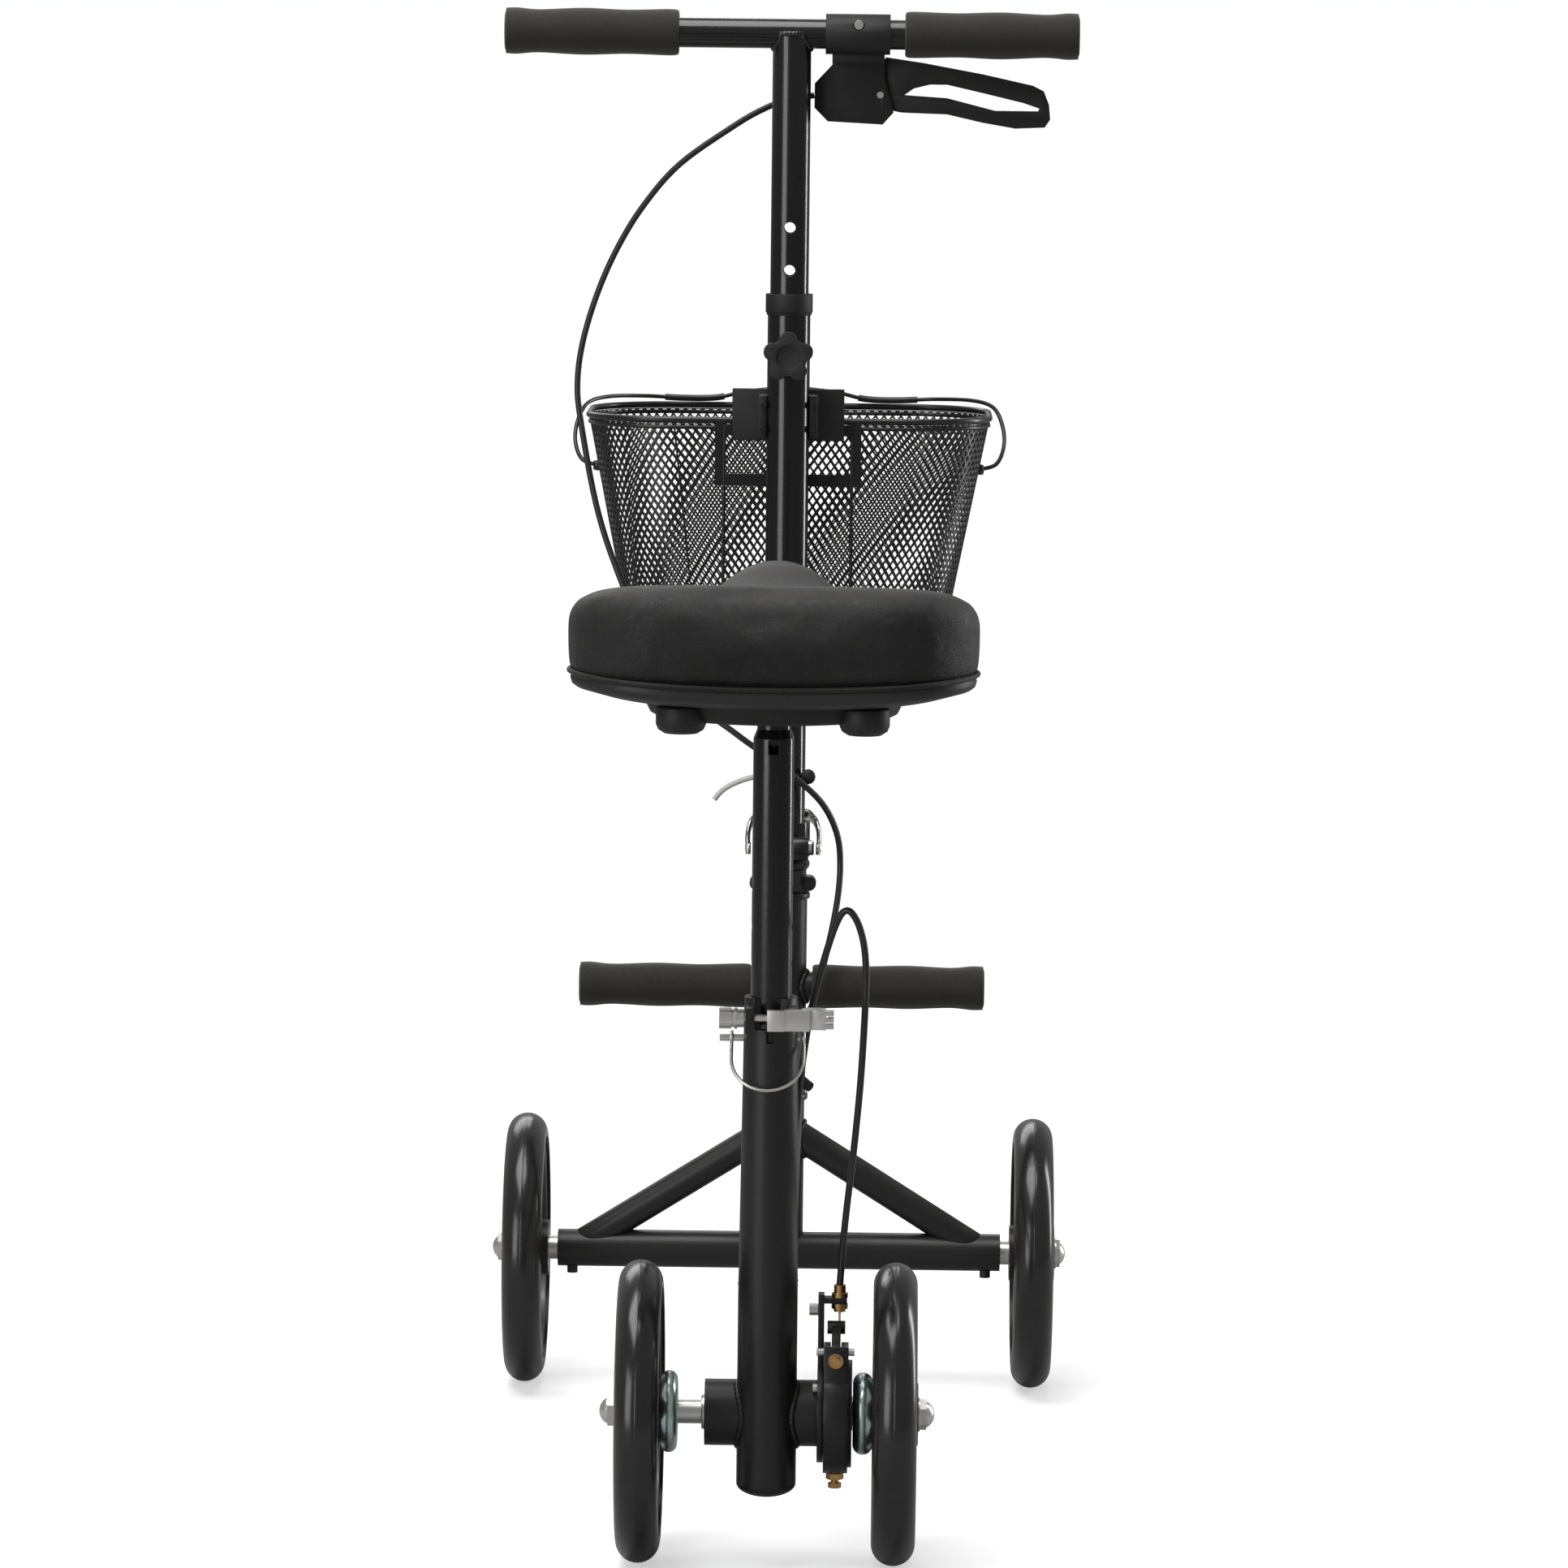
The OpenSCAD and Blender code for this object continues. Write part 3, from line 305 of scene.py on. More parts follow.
def steelFinish(name, tone, gloss, grain=(30, 900, 900), tint=None, edge=0.0004):
    f = Finish(name, Metallic=1.0)
    brush = f.noise(1, 4, at=f.stretched(grain))
    cloud = f.noise(45, 4)
    spot = f.ramp(f.noise(260, 3), 0.62, 0.78)
    base = f.mix(cloud, tuple(c * 0.86 for c in tone), tone)
    if tint:
        base = f.mix(f.ramp(f.noise(38, 2), 0.36, 0.64), base, tint)
    base = f.mix(spot * 0.35, base, tuple(c * 0.55 for c in tone))
    base = f.mix(f.edges(edge) * 0.5, base, tuple(min(c * 1.25, 1) for c in tone))
    rough = gloss + brush * 0.12 + spot * 0.18 + cloud * 0.05
    return f.feed(Base_Color=base, Roughness=rough,
                  Normal=f.bump(brush, 0.00002, f.rounded(edge)))


def plasticFinish(name, tone, gloss, grain, depth, coat=0.0, edge=0.0006):
    f = Finish(name, Coat_Weight=coat, Coat_Roughness=0.15)
    pits = f.cells(grain)
    cloud = f.noise(14, 4)
    flow = f.noise(1, 3, at=f.stretched((4, 30, 30)))
    worn = f.edges(edge, 3.0) * f.ramp(f.noise(90, 3), 0.4, 0.65)
    dust = f.upward() * f.ramp(f.noise(35, 5), 0.45, 0.8)
    base = f.mix(cloud, tuple(c * 0.8 for c in tone), tuple(c * 1.25 for c in tone))
    base = f.mix(worn * 0.35 + dust * 0.08, base, tuple(c * 2 + 0.05 for c in tone))
    rough = gloss + cloud * 0.1 + flow * 0.06 + worn * 0.08 + dust * 0.12
    return f.feed(Base_Color=base, Roughness=rough,
                  Normal=f.bump(pits + f.noise(grain * 0.4, 3) * 0.6, depth, f.rounded(edge)))


def tyreFinish(name, middle):
    f = Finish(name, Coat_Weight=0.25, Coat_Roughness=0.2)
    x = f.axes()[0]
    off = (x.size() - middle).size()
    seam = (1 - off / 0.0006).limited()
    scuff = f.ramp(f.noise(70, 6, 0.65), 0.56, 0.76) * (1 - off / 0.009).limited()
    cloud = f.noise(12, 3)
    base = f.mix(cloud, (0.009, 0.009, 0.010), (0.018, 0.018, 0.019))
    # browner towards the sidewalls: painted sheen for the brownish see-through look at the tyres'
    # outline
    base = f.mix((off / 0.013).limited() ** 3 * 0.5, base, (0.034, 0.028, 0.020))
    base = f.mix(scuff * 0.3, base, (0.040, 0.039, 0.037))
    rough = 0.17 + cloud * 0.08 + scuff * 0.22
    height = seam * 0.8 + f.noise(900, 3) * 0.04 + scuff * f.noise(500, 2) * 0.06
    return f.feed(Base_Color=base, Roughness=rough, Normal=f.bump(height, 0.0002))


def foamFinish(name, tone):
    f = Finish(name, Sheen_Weight=0.25, Sheen_Roughness=0.5)
    pores = f.cells(1500)
    lumps = f.noise(240, 4)
    cloud = f.noise(20, 4)
    base = f.mix(cloud, tuple(c * 0.78 for c in tone), tuple(c * 1.2 for c in tone))
    # darker in the pits: painted shade inside the foam's pores
    base = f.mix(f.ramp(pores, 0.15, 0.0) * 0.6, base, tuple(c * 0.35 for c in tone))
    return f.feed(Base_Color=base, Roughness=0.78 + lumps * 0.18,
                  Normal=f.bump(pores * 0.8 + lumps, 0.00016))


def vinylFinish(name, tone):
    f = Finish(name, Specular_IOR_Level=0.45, Sheen_Weight=0.06)
    warp = f.node("ShaderNodeMix", {"data_type": "VECTOR"},
                  {0: 0.02, 4: f.place, 5: f.node("ShaderNodeTexNoise", None,
                   {"Vector": f.place, "Scale": 60.0}, out="Color")}, out=1)
    grain = f.cells(620, "DISTANCE_TO_EDGE", warp)
    fine = f.cells(1700, "DISTANCE_TO_EDGE", warp)
    crease = f.ramp(grain, 0.0, 0.1) * 0.7 + f.ramp(fine, 0.0, 0.12) * 0.3
    cloud = f.noise(10, 5)
    dust = f.upward() * f.ramp(f.noise(30, 5), 0.4, 0.8)
    base = f.mix(cloud, tuple(c * 0.85 for c in tone), tuple(c * 1.25 for c in tone))
    # darker along the grain's grooves: painted shade in the vinyl's creases
    base = f.mix(crease, tuple(c * 0.5 for c in tone), base)
    base = f.mix(dust * 0.35, base, (0.085, 0.075, 0.066))
    rough = 0.42 + cloud * 0.14 + (1 - crease) * 0.12 + dust * 0.16
    return f.feed(Base_Color=base, Roughness=rough,
                  Normal=f.bump(crease + f.noise(45, 3) * 0.5, 0.00012))


def cableFinish(name):
    f = Finish(name, Coat_Weight=0.15, Coat_Roughness=0.25)
    ribs = f.noise(1, 2, at=f.stretched((260, 260, 260)))
    cloud = f.noise(35, 4)
    scuff = f.ramp(f.noise(140, 5), 0.6, 0.75)
    base = f.mix(cloud, (0.010, 0.010, 0.010), (0.022, 0.022, 0.022))
    base = f.mix(scuff * 0.3, base, (0.07, 0.07, 0.065))
    return f.feed(Base_Color=base, Roughness=0.3 + cloud * 0.1 + scuff * 0.2,
                  Normal=f.bump(ribs, 0.00003))


finishes = {
    "frame_paint": paintFinish("framePaint", (0.013, 0.0128, 0.0125), 0.34, 420, 0.0),
    "tube_paint": paintFinish("tubePaint", (0.0065, 0.0062, 0.006), 0.16, 160, 0.4),
    "cast_black": paintFinish("castBlack", (0.008, 0.008, 0.008), 0.3, 500, 0.1),
    "mesh": paintFinish("meshCoat", (0.008, 0.008, 0.008), 0.28, 600, 0.2, 0.0002),
    "steel": steelFinish("brightSteel", (0.86, 0.85, 0.82), 0.24),
    "chrome": steelFinish("darkChrome", (0.62, 0.62, 0.61), 0.07, (60, 300, 300)),
    "zinc": steelFinish("zincPlate", (0.82, 0.88, 0.86), 0.2, (60, 400, 400),
                        (0.42, 0.64, 0.60)),
    "cast_alloy": steelFinish("castAlloy", (0.92, 0.91, 0.87), 0.3, (500, 500, 500)),
    "brass": steelFinish("brassPlate", (0.72, 0.50, 0.20), 0.2, (300, 300, 300),
                         (0.55, 0.26, 0.10)),
    "black_plastic": plasticFinish("blackNylon", (0.0085, 0.0083, 0.0078), 0.5, 1600, 0.00004),
    "knob_plastic": plasticFinish("knobPlastic", (0.014, 0.014, 0.014), 0.52, 1400, 0.00005),
    "rim_plastic": plasticFinish("rimPlastic", (0.014, 0.014, 0.0145), 0.28, 1200, 0.00002, 0.2),
    "bumper": plasticFinish("bumperRubber", (0.014, 0.014, 0.014), 0.45, 900, 0.00004),
    "tie": plasticFinish("nylonTie", (0.62, 0.61, 0.56), 0.35, 1200, 0.00002),
    "foam": foamFinish("foamGrip", (0.0200, 0.0186, 0.0160)),
    "vinyl": vinylFinish("saddleVinyl", (0.0080, 0.0075, 0.0066)),
    "cable": cableFinish("cableCover"),
}
frontTyreRubber = tyreFinish("frontTyreRubber", (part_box("front_tyre_right")[0].x
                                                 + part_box("front_tyre_right")[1].x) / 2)
rearTyreRubber = tyreFinish("rearTyreRubber", rearTyres[1].x - (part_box("front_tyre_right")[1].x
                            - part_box("front_tyre_right")[0].x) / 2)
finishes["tyre"] = frontTyreRubber
baseShade = plasticFinish("saddleShell", (0.022, 0.022, 0.0215), 0.42, 700, 0.00004)

slotOf = {part["node"]: part["material_slot"] for part in frame["record"]["subparts"]}
for name, obj in nodes.items():
    obj.data.materials.clear()
    obj.data.materials.append(rearTyreRubber if name == "rear_tyres" else finishes[slotOf[name]])
print("finishes made")

# brake cable, one length cut where it changes body

cableSet = {"radius": 0.0024, "tieAt": 17, "turnAt": 20, "steps": 6}
ahead = [(16.5, 24, 971), (-2, 26, 968), (-22, 26, 960), (-44, 24, 947), (-83, 20, 919),
         (-109, 18, 889), (-128, 16, 858), (-143, 14, 824), (-154, 12, 787), (-158, 12, 755),
         (-155, 10, 725), (-143, 6, 664), (-127, 0, 616), (-104, -9, 566), (-70, -18, 522),
         (-36, -25, 496), (-12, -25, 479), (9, -22, 463), (29, -13, 443), (40, -4, 420),
         (43, 0, 396), (41, -8, 368), (34, -20, 333), (24, -40, 296), (11, -82, 277),
         (8, -200, 262), (8, -340, 246)]
behind = [(8, 150, 230), (11, 72, 238), (16, 30, 282), (21, 14, 335), (28, 8, 380),
          (41, 2, 428), (50, -2, 442), (59, -4, 429), (63, -4, 400), (61, -2, 340),
          (57, 2, 288), (51, 6, 230), (48, 6, 188)]
cableRoute = ([Vector((x / 1000, frontY + y / 1000, z / 1000)) for x, y, z in ahead]
              + [Vector((x / 1000, rearY + y / 1000, z / 1000)) for x, y, z in behind])
cableLine = smoothLine(cableRoute, cableSet["steps"])
cuts = [0, cableSet["tieAt"], cableSet["turnAt"], len(cableRoute) - 1]
cableParts = [("brakeCableUpper", "cable_upper", "handlebar_set", "column"),
              ("brakeCableMiddle", "cable_middle", "column", "steering"),
              ("brakeCableLower", "cable_lower", "steering", "frame")]
bends = [((0, frontY, 0.49), (0, frontY, 0.93)),
         ((0.043, frontY, 0.396), (0.009, frontY - 0.022, 0.463)),
         ((0, frontY - 0.06, 0.285), (0.043, frontY, 0.392))]
for (name, node, upper, lower), first, last, (start, end) in zip(cableParts, cuts, cuts[1:],
                                                                 bends):
    stretch = cableLine[first * cableSet["steps"]:last * cableSet["steps"] + 1]
    piece = tube(name, stretch, cableSet["radius"], 3)
    piece.data.materials.append(finishes["cable"])
    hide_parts(node)
    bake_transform(piece)
wireSet = {"x": 0.048, "ahead": 0.006, "ends": (0.160, 0.174), "radius": 0.0008}
wireLine = [Vector((wireSet["x"], rearY + wireSet["ahead"], z)) for z in wireSet["ends"]]
innerWire = tube("brakeInnerWire", wireLine, wireSet["radius"], 2)
place(innerWire, "frame", finishes["steel"], slot="steel")
print("brake cable made")

# saddle

saddleSet = {"voxel": 0.005, "pressure": 4.0, "swell": 0.004, "shrink": -0.0015,
             "edgeDrop": 0.0065, "welt": 0.0018, "weltInset": 0.0012,
             "kept": 0.6, "fall": 0.118, "noseHalf": 0.05, "dome": 0.022, "wing": 0.004}
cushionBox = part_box("saddle_cushion")
saddleHalf = cushionBox[1].x
saddleMid = (cushionBox[0].y + cushionBox[1].y) / 2


def lift(x):  # the saddle's lower edge rises towards its wings
    return saddleSet["edgeDrop"] * (x / saddleHalf) ** 2


def saddleOutline(count):  # the cushion's plan, evenly stepped, from its CAD foot
    low = cushionBox[0].z
    foot = [v.co for v in nodes["saddle_cushion"].data.vertices if v.co.z < low + 1e-4]
    ring = sorted({(round(p.x, 5), round(p.y, 5)) for p in foot},
                  key=lambda p: atan2(p[1] - saddleMid, p[0]))
    ring = [Vector((x, y, 0)) for x, y in ring]
    sides = [(b - a).length for a, b in zip(ring, ring[1:] + ring[:1])]
    total = sum(sides)
    points, i, walked = [], 0, 0.0
    for k in range(count):
        goal = total * k / count
        while walked + sides[i] < goal:
            walked += sides[i]
            i += 1
        share = (goal - walked) / sides[i]
        points.append(ring[i].lerp(ring[(i + 1) % len(ring)], share))
    for _ in range(6):  # eases the corners where the nose meets the wings
        points = [(points[i - 1] + 2 * p + points[(i + 1) % count]) / 4
                  for i, p in enumerate(points)]
    return points


outlinePoints = saddleOutline(144)
outlineOut = [((b - a).cross(Vector((0, 0, 1)))).normalized() for a, b in
              zip(outlinePoints[-1:] + outlinePoints[:-1], outlinePoints[1:] + outlinePoints[:1])]
if sum(n.dot(p - Vector((0, saddleMid, 0))) for n, p in zip(outlineOut, outlinePoints)) < 0:
    outlineOut = [-n for n in outlineOut]


def saddleLoft(name, levels):  # rings of the saddle's outline: (inset, height)
    bm = bmesh.new()
    ring = bmesh.ops.create_circle(bm, segments=len(outlinePoints), radius=1)["verts"]
    ring = sorted(ring, key=lambda v: v.index)

    def settle(verts, inset, height):
        for v, p, n in zip(verts, outlinePoints, outlineOut):
            spot = p - n * inset
            v.co = (spot.x, spot.y, height + lift(p.x))

    settle(ring, *levels[0])
    for inset, height in levels[1:]:
        loop = [bm.edges.get((ring[i - 1], ring[i])) for i in range(len(ring))]
        made = bmesh.ops.extrude_edge_only(bm, edges=loop)["geom"]
        copies = {}
        for e in made:
            if isinstance(e, bmesh.types.BMEdge) and e not in loop:
                for v in e.verts:
                    if v not in ring:
                        copies[v] = True
        matched = []
        for v in ring:
            matched.append(next(e.other_vert(v) for e in v.link_edges
                                if e.other_vert(v) in copies))
        ring = matched
        settle(ring, inset, height)
    return bm, ring


def makeCushion():
    low, top = cushionBox[0].z - 0.001, cushionBox[1].z - 0.0015
    s = saddleSet["shrink"]
    bm, ring = saddleLoft("saddleCushion", [
        (s + 0.003, low), (s, low + 0.003), (s - 0.0008, low + 0.022), (s - 0.0008, top - 0.018),
        (s + 0.0015, top - 0.009), (s + 0.006, top - 0.003), (s + 0.014, top)])
    bmesh.ops.contextual_create(bm, geom=ring)
    foot = [e for e in bm.edges if e.is_boundary]
    bmesh.ops.contextual_create(bm, geom=foot)
    for v in bm.verts:  # the wings' lift belongs to the lower edge only
        v.co.z -= lift(v.co.x) * max(0, min(1, (v.co.z - low) / (top - low)))
    obj = addMesh("saddleCushion", bm)
    cut = obj.modifiers.new("voxels", "REMESH")
    cut.mode = "VOXEL"
    cut.voxel_size = saddleSet["voxel"]
    obj = freeze(obj)
    before = [v.co.copy() for v in obj.data.vertices]
    puff = obj.modifiers.new("puff", "CLOTH")
    puff.settings.use_pressure = True
    puff.settings.uniform_pressure_force = saddleSet["pressure"]
    puff.settings.effector_weights.gravity = 0
    puff.settings.tension_stiffness = 15
    puff.settings.compression_stiffness = 15
    puff.settings.bending_stiffness = 2.0
    scene = bpy.context.scene
    for number in range(1, 21):
        scene.frame_set(number)
    obj = freeze(obj)
    scene.frame_set(1)
    for v, home in zip(obj.data.vertices, before):
        step = (v.co - home) * saddleSet["kept"]
        if step.length > saddleSet["swell"]:
            step = step.normalized() * saddleSet["swell"]
        v.co = home + step
    return obj


def shapeCushion(obj):  # flat where it rests on its shell, dished where the rider sits
    low = cushionBox[0].z
    top = cushionBox[1].z - 0.0015
    bm = bmesh.new()
    bm.from_mesh(obj.data)
    for _ in range(2):
        bmesh.ops.smooth_vert(bm, verts=bm.verts, factor=0.5, use_axis_x=True,
                              use_axis_y=True, use_axis_z=True)
    for v in bm.verts:
        floor = low - 0.0005 + lift(v.co.x)
        upper = max(0, min(1, (v.co.z - low) / (top - low)))
        ahead = max(0, v.co.y - cushionBox[0].y - 0.03)
        fall = saddleSet["fall"] * ahead
        rise = max(0, min(1, (ahead - 0.09) / 0.09))
        rise = rise * rise * (3 - 2 * rise)
        dome = saddleSet["dome"] * (v.co.x / saddleSet["noseHalf"]) ** 2
        drop = fall * (1 - rise) + rise * min(dome, fall + 0.004)
        drop += saddleSet["wing"] * (v.co.x / saddleHalf) ** 4
        v.co.z -= drop * upper ** 2
        v.co.z = min(max(v.co.z, floor), top + 0.006)
    bm.to_mesh(obj.data)
    bm.free()
    soft = obj.modifiers.new("soft", "SUBSURF")
    soft.levels = soft.render_levels = 1
    obj = freeze(obj)
    obj.name = "saddleCushion"
    obj.data.polygons.foreach_set("use_smooth", [True] * len(obj.data.polygons))
    return obj


cushion = shapeCushion(makeCushion())
place(cushion, "seat", finishes["vinyl"], ["saddle_cushion"], "vinyl")

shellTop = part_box("saddle_base")[1].z
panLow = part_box("saddle_base")[0].z
bm, ring = saddleLoft("saddleShell", [
    (0.006, shellTop + 0.0002), (0.0028, shellTop), (0.0018, shellTop - 0.003),
    (0.0028, shellTop - 0.0065), (0.0055, shellTop - 0.0085), (0.020, shellTop - 0.0125),
    (0.030, shellTop - 0.0135)])
bmesh.ops.contextual_create(bm, geom=ring)
bmesh.ops.contextual_create(bm, geom=[e for e in bm.edges if e.is_boundary])
shell = addMesh("saddleShell", bm)
shell.data.set_sharp_from_angle(angle=radians(60))
place(shell, "seat", baseShade, ["saddle_base"], "black_plastic")

inset = saddleSet["weltInset"]
weltLine = [Vector((p.x - n.x * inset, p.y - n.y * inset, cushionBox[0].z + lift(p.x) + inset))
            for p, n in zip(outlinePoints, outlineOut)]
welt = tube("saddleWelt", weltLine, saddleSet["welt"], 3, closed=True)
place(welt, "seat", finishes["vinyl"], slot="vinyl")
panSet = {"radius": 0.084, "behind": 0.014}
panR, panY = panSet["radius"], postY - panSet["behind"]
z = panLow
panProfile = [(shellTop - 0.010, panR + 0.002), (z + 0.006, panR), (z + 0.002, panR - 0.002),
              (z, panR - 0.006), (z, 0.062), (z + 0.003, 0.058), (z + 0.003, 0.046), (z, 0.042),
              (z, 0.032), (z + 0.004, 0.028), (z + 0.004, 0.0001)]
pan = lathe("saddlePan", panProfile, (0, panY, 0), "Z", 96)
place(pan, "seat", finishes["black_plastic"], slot="black_plastic")
print("saddle made")

# basket

basketSet = {"pitch": 0.0066, "row": 0.0088, "strand": 0.00074, "thick": 0.0009,
             "corner": 0.066, "lowScale": 0.77, "extraDepth": 0.014}
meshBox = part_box("basket_mesh")
basketW = meshBox[1].x - meshBox[0].x
basketD = meshBox[1].y - meshBox[0].y
basketH = meshBox[1].z - meshBox[0].z
basketRear = meshBox[0].y


def basketEdge(u, w, d, r):  # point at share u of a rounded rectangle's way round
    straights = [w - 2 * r, d - 2 * r, w - 2 * r, d - 2 * r]
    arc = pi * r / 2
    walk = u * (sum(straights) + 4 * arc)
    starts = [(-w / 2 + r, 0), (w / 2, r), (w / 2 - r, d), (-w / 2, d - r)]
    for k, (length, (x, y)) in enumerate(zip(straights, starts)):
        a = k * pi / 2
        if walk <= length:
            return Vector((x + cos(a) * walk, y + sin(a) * walk, 0))
        walk -= length
        if walk <= arc:
            centre = Vector((x + cos(a) * length - sin(a) * r, y + sin(a) * length + cos(a) * r, 0))
            b = a - pi / 2 + walk / r
            return centre + Vector((cos(b), sin(b), 0)) * r
        walk -= arc
    return Vector((-w / 2 + r, 0, 0))


def basketPoint(u, v):  # u round the basket, v from floor to rim
    k = basketSet["lowScale"]
    r = basketSet["corner"]
    topSpot = basketEdge(u, basketW, basketD, r)
    lowSpot = basketEdge(u, basketW * k, basketD * k + basketSet["extraDepth"], r * k)
    spot = lowSpot.lerp(topSpot, v)
    return Vector((spot.x, basketRear + spot.y, meshBox[0].z + v * basketH))


def lattice(across, up, width, height):  # sheet of diamond holes, flat in X and Y
    bm = bmesh.new()
    bmesh.ops.create_grid(bm, x_segments=across, y_segments=up, size=0.5)
    bmesh.ops.scale(bm, vec=(width, height, 1), verts=bm.verts)
    gridEdges = [e for e in bm.edges if not e.is_boundary]
    bmesh.ops.poke(bm, faces=bm.faces)
    bmesh.ops.dissolve_edges(bm, edges=gridEdges, use_verts=False)
    made = bmesh.ops.inset_individual(bm, faces=bm.faces, thickness=basketSet["strand"],
                                      use_even_offset=True)["faces"]
    strips = set(made)
    holes = [f for f in bm.faces if f not in strips]
    bmesh.ops.delete(bm, geom=holes, context="FACES")
    return bm


def thicken(obj):
    bpy.context.view_layer.update()
    wall = obj.modifiers.new("wall", "SOLIDIFY")
    wall.thickness = basketSet["thick"]
    wall.offset = -1
    return freeze(obj)


rimLength = 2 * (basketW + basketD) - (8 - 2 * pi) * basketSet["corner"]
across = round(rimLength / basketSet["pitch"])
up = round(basketH / basketSet["row"])
bm = lattice(across, up, rimLength, basketH)
for v in bm.verts:
    v.co = basketPoint(min(max(v.co.x / rimLength + 0.5, 0), 1),
                       min(max(v.co.y / basketH + 0.5, 0), 1))
basketWalls = thicken(addMesh("basketWalls", bm, smooth=False))
place(basketWalls, "basket", finishes["mesh"], ["basket_mesh"], "mesh")

floorW = basketW * basketSet["lowScale"]
floorD = basketD * basketSet["lowScale"] + basketSet["extraDepth"]
floorR = basketSet["corner"] * basketSet["lowScale"]
bm = lattice(round(floorW / basketSet["pitch"]), round(floorD / basketSet["row"]), floorW, floorD)
outsideFaces = []
for f in bm.faces:
    c = f.calc_center_median()
    px = max(abs(c.x) - (floorW / 2 - floorR), 0)
    py = max(abs(c.y) - (floorD / 2 - floorR), 0)
    if hypot(px, py) > floorR - 0.001:
        outsideFaces.append(f)
bmesh.ops.delete(bm, geom=outsideFaces, context="FACES")
bmesh.ops.translate(bm, verts=bm.verts, vec=(0, basketRear + floorD / 2, meshBox[0].z + 0.0012))
basketFloor = thicken(addMesh("basketFloor", bm, smooth=False))
place(basketFloor, "basket", finishes["mesh"], slot="mesh")

wires = {"basketFootWire": (0.0, 0.0022), "basketLowWire": (0.02, 0.0014),
         "basketRimBand": (0.985, 0.0016)}
for name, (height, radius) in wires.items():
    ringPoints = [basketPoint(k / 160, height) for k in range(160)]
    wirePiece = tube(name, ringPoints, radius, 2, closed=True)
    place(wirePiece, "basket", finishes["mesh"], slot="mesh")

uprightSet = {"x": 0.048, "behind": 0.0012, "wire": 0.0013}
for side, word in bothSides:  # on the rear wall
    spots = [Vector((side * uprightSet["x"], basketRear - uprightSet["behind"],
                     meshBox[0].z + share * basketH)) for share in (0.002, 0.5, 0.998)]
    piece = tube("basketUpright" + word, spots, uprightSet["wire"], 2)
    place(piece, "basket", finishes["mesh"], slot="mesh")

bailSet = {"wire": 0.0016, "sleeve": 0.0026, "pegX": 0.1462, "pegZ": 0.686,
           "frontY": 0.226, "pivotY": 0.09135}
front = frontY + bailSet["frontY"]
bailY = basketRear + bailSet["pivotY"]
half = [(0.1445, bailY, 0.686), (0.158, bailY + 0.003, 0.690), (0.164, bailY + 0.012, 0.703),
        (0.163, bailY + 0.026, 0.718), (0.156, bailY + 0.044, 0.731), (0.140, bailY + 0.066, 0.735),
        (0.112, front - 0.008, 0.734), (0.084, front - 0.002, 0.7325), (0.058, front, 0.733),
        (0.034, front, 0.738)]
bailRoute = half + [(0, front, 0.741)] + [(-x, y, z) for x, y, z in reversed(half)]
bailLine = smoothLine(bailRoute, 8)
bail = tube("basketBail", bailLine, bailSet["wire"], 3)
place(bail, "bail", finishes["mesh"], ["basket_bail"], "mesh")
for side, word in bothSides:
    sleeve = [p for p in bailLine if 0.052 < side * p.x < 0.1 and p.y > bailY + 0.05]
    piece = tube("bailSleeve" + word, sleeve, bailSet["sleeve"], 3)
    place(piece, "bail", finishes["cable"], slot="cable")
    head = lathe("bailPeg" + word,
                 [(-0.0035, 0.0001), (-0.0035, 0.0034), (0.0, 0.0042), (0.0022, 0.0036),
                  (0.003, 0.0001)], (side * bailSet["pegX"], bailY, bailSet["pegZ"]), "X", 24)
    place(head, "bail", finishes["mesh"], slot="mesh")
print("basket made")

# grips, with a profile that swells and narrows

gripSet = {"hand": {"core": 0.0113, "end": 0.0172, "waist": 0.0164, "belly": 0.0174},
           "foot": {"core": 0.0113, "end": 0.0166, "waist": 0.0156, "belly": 0.0164}}


def makeGrip(name, node, body, shape, side):
    low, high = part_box(node)
    inner = min(abs(v.co.x) for v in nodes[node].data.vertices)
    outer = high.x
    z = (low.z + high.z) / 2
    w = outer - inner
    s = gripSet[shape]
    keys = [(0.0, s["end"] - 0.0012), (0.05, s["end"]), (0.3, s["waist"]), (0.55, s["belly"]),
            (0.8, s["waist"] - 0.0004), (0.93, s["end"]), (1.0, s["end"] - 0.0004)]
    curve = smoothLine([(inner + w * a, 0, r) for a, r in keys], 6)
    profile = [(inner + 0.0005, s["core"])] + [(p.x, p.z) for p in curve]
    profile[1] = (inner, s["end"] - 0.0022)
    profile[-1] = (outer - 0.0026, s["end"] - 0.0002)
    profile += [(outer - 0.0008, s["end"] - 0.0016), (outer, s["end"] - 0.004),
                (outer, 0.0001)]
    piece = lathe(name, [(side * a, r) for a, r in profile], (0, frontY, z), "X", 72)
    return place(piece, body, finishes["foam"], slot="foam")


for side, word in bothSides:
    hand = makeGrip("handGrip" + word, "hand_grips", "handlebar_set", "hand", side)
    foot = makeGrip("footGrip" + word, "foot_grips", "frame", "foot", side)
    if side > 0:
        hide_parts("hand_grips")
        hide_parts("foot_grips")
print("grips made")

# moulded and cast pieces: CAD shapes with their edges rounded

rounding = {
    "brake_bracket": (0.0022, "handlebar_set"), "brake_lever": (0.0022, "lever"),
    "brake_case": (0.0012, "frame"), "clamp_lever": (0.0009, "cam"),
    "height_knob": (0.0014, "knob"), "basket_bracket": (0.0012, "column"),
    "fold_base": (0.0008, "steering"), "brake_back_plate": (0.0006, "frame"),
    "brake_arm": (0.0006, "arm"), "saddle_clamp": (0.001, "seat"),
    "saddle_bumpers": (0.0022, "seat"), "column_collar": (0.0008, "column"),
    "headset_cups": (0.0008, "frame"), "seat_tube": (0.0006, "frame"),
}
for node, (width, body) in rounding.items():
    place(softened(node, width), body, finishes[slotOf[node]], [node], slotOf[node])
print("castings rounded")

# fold latch: a bright strap bent over the joint

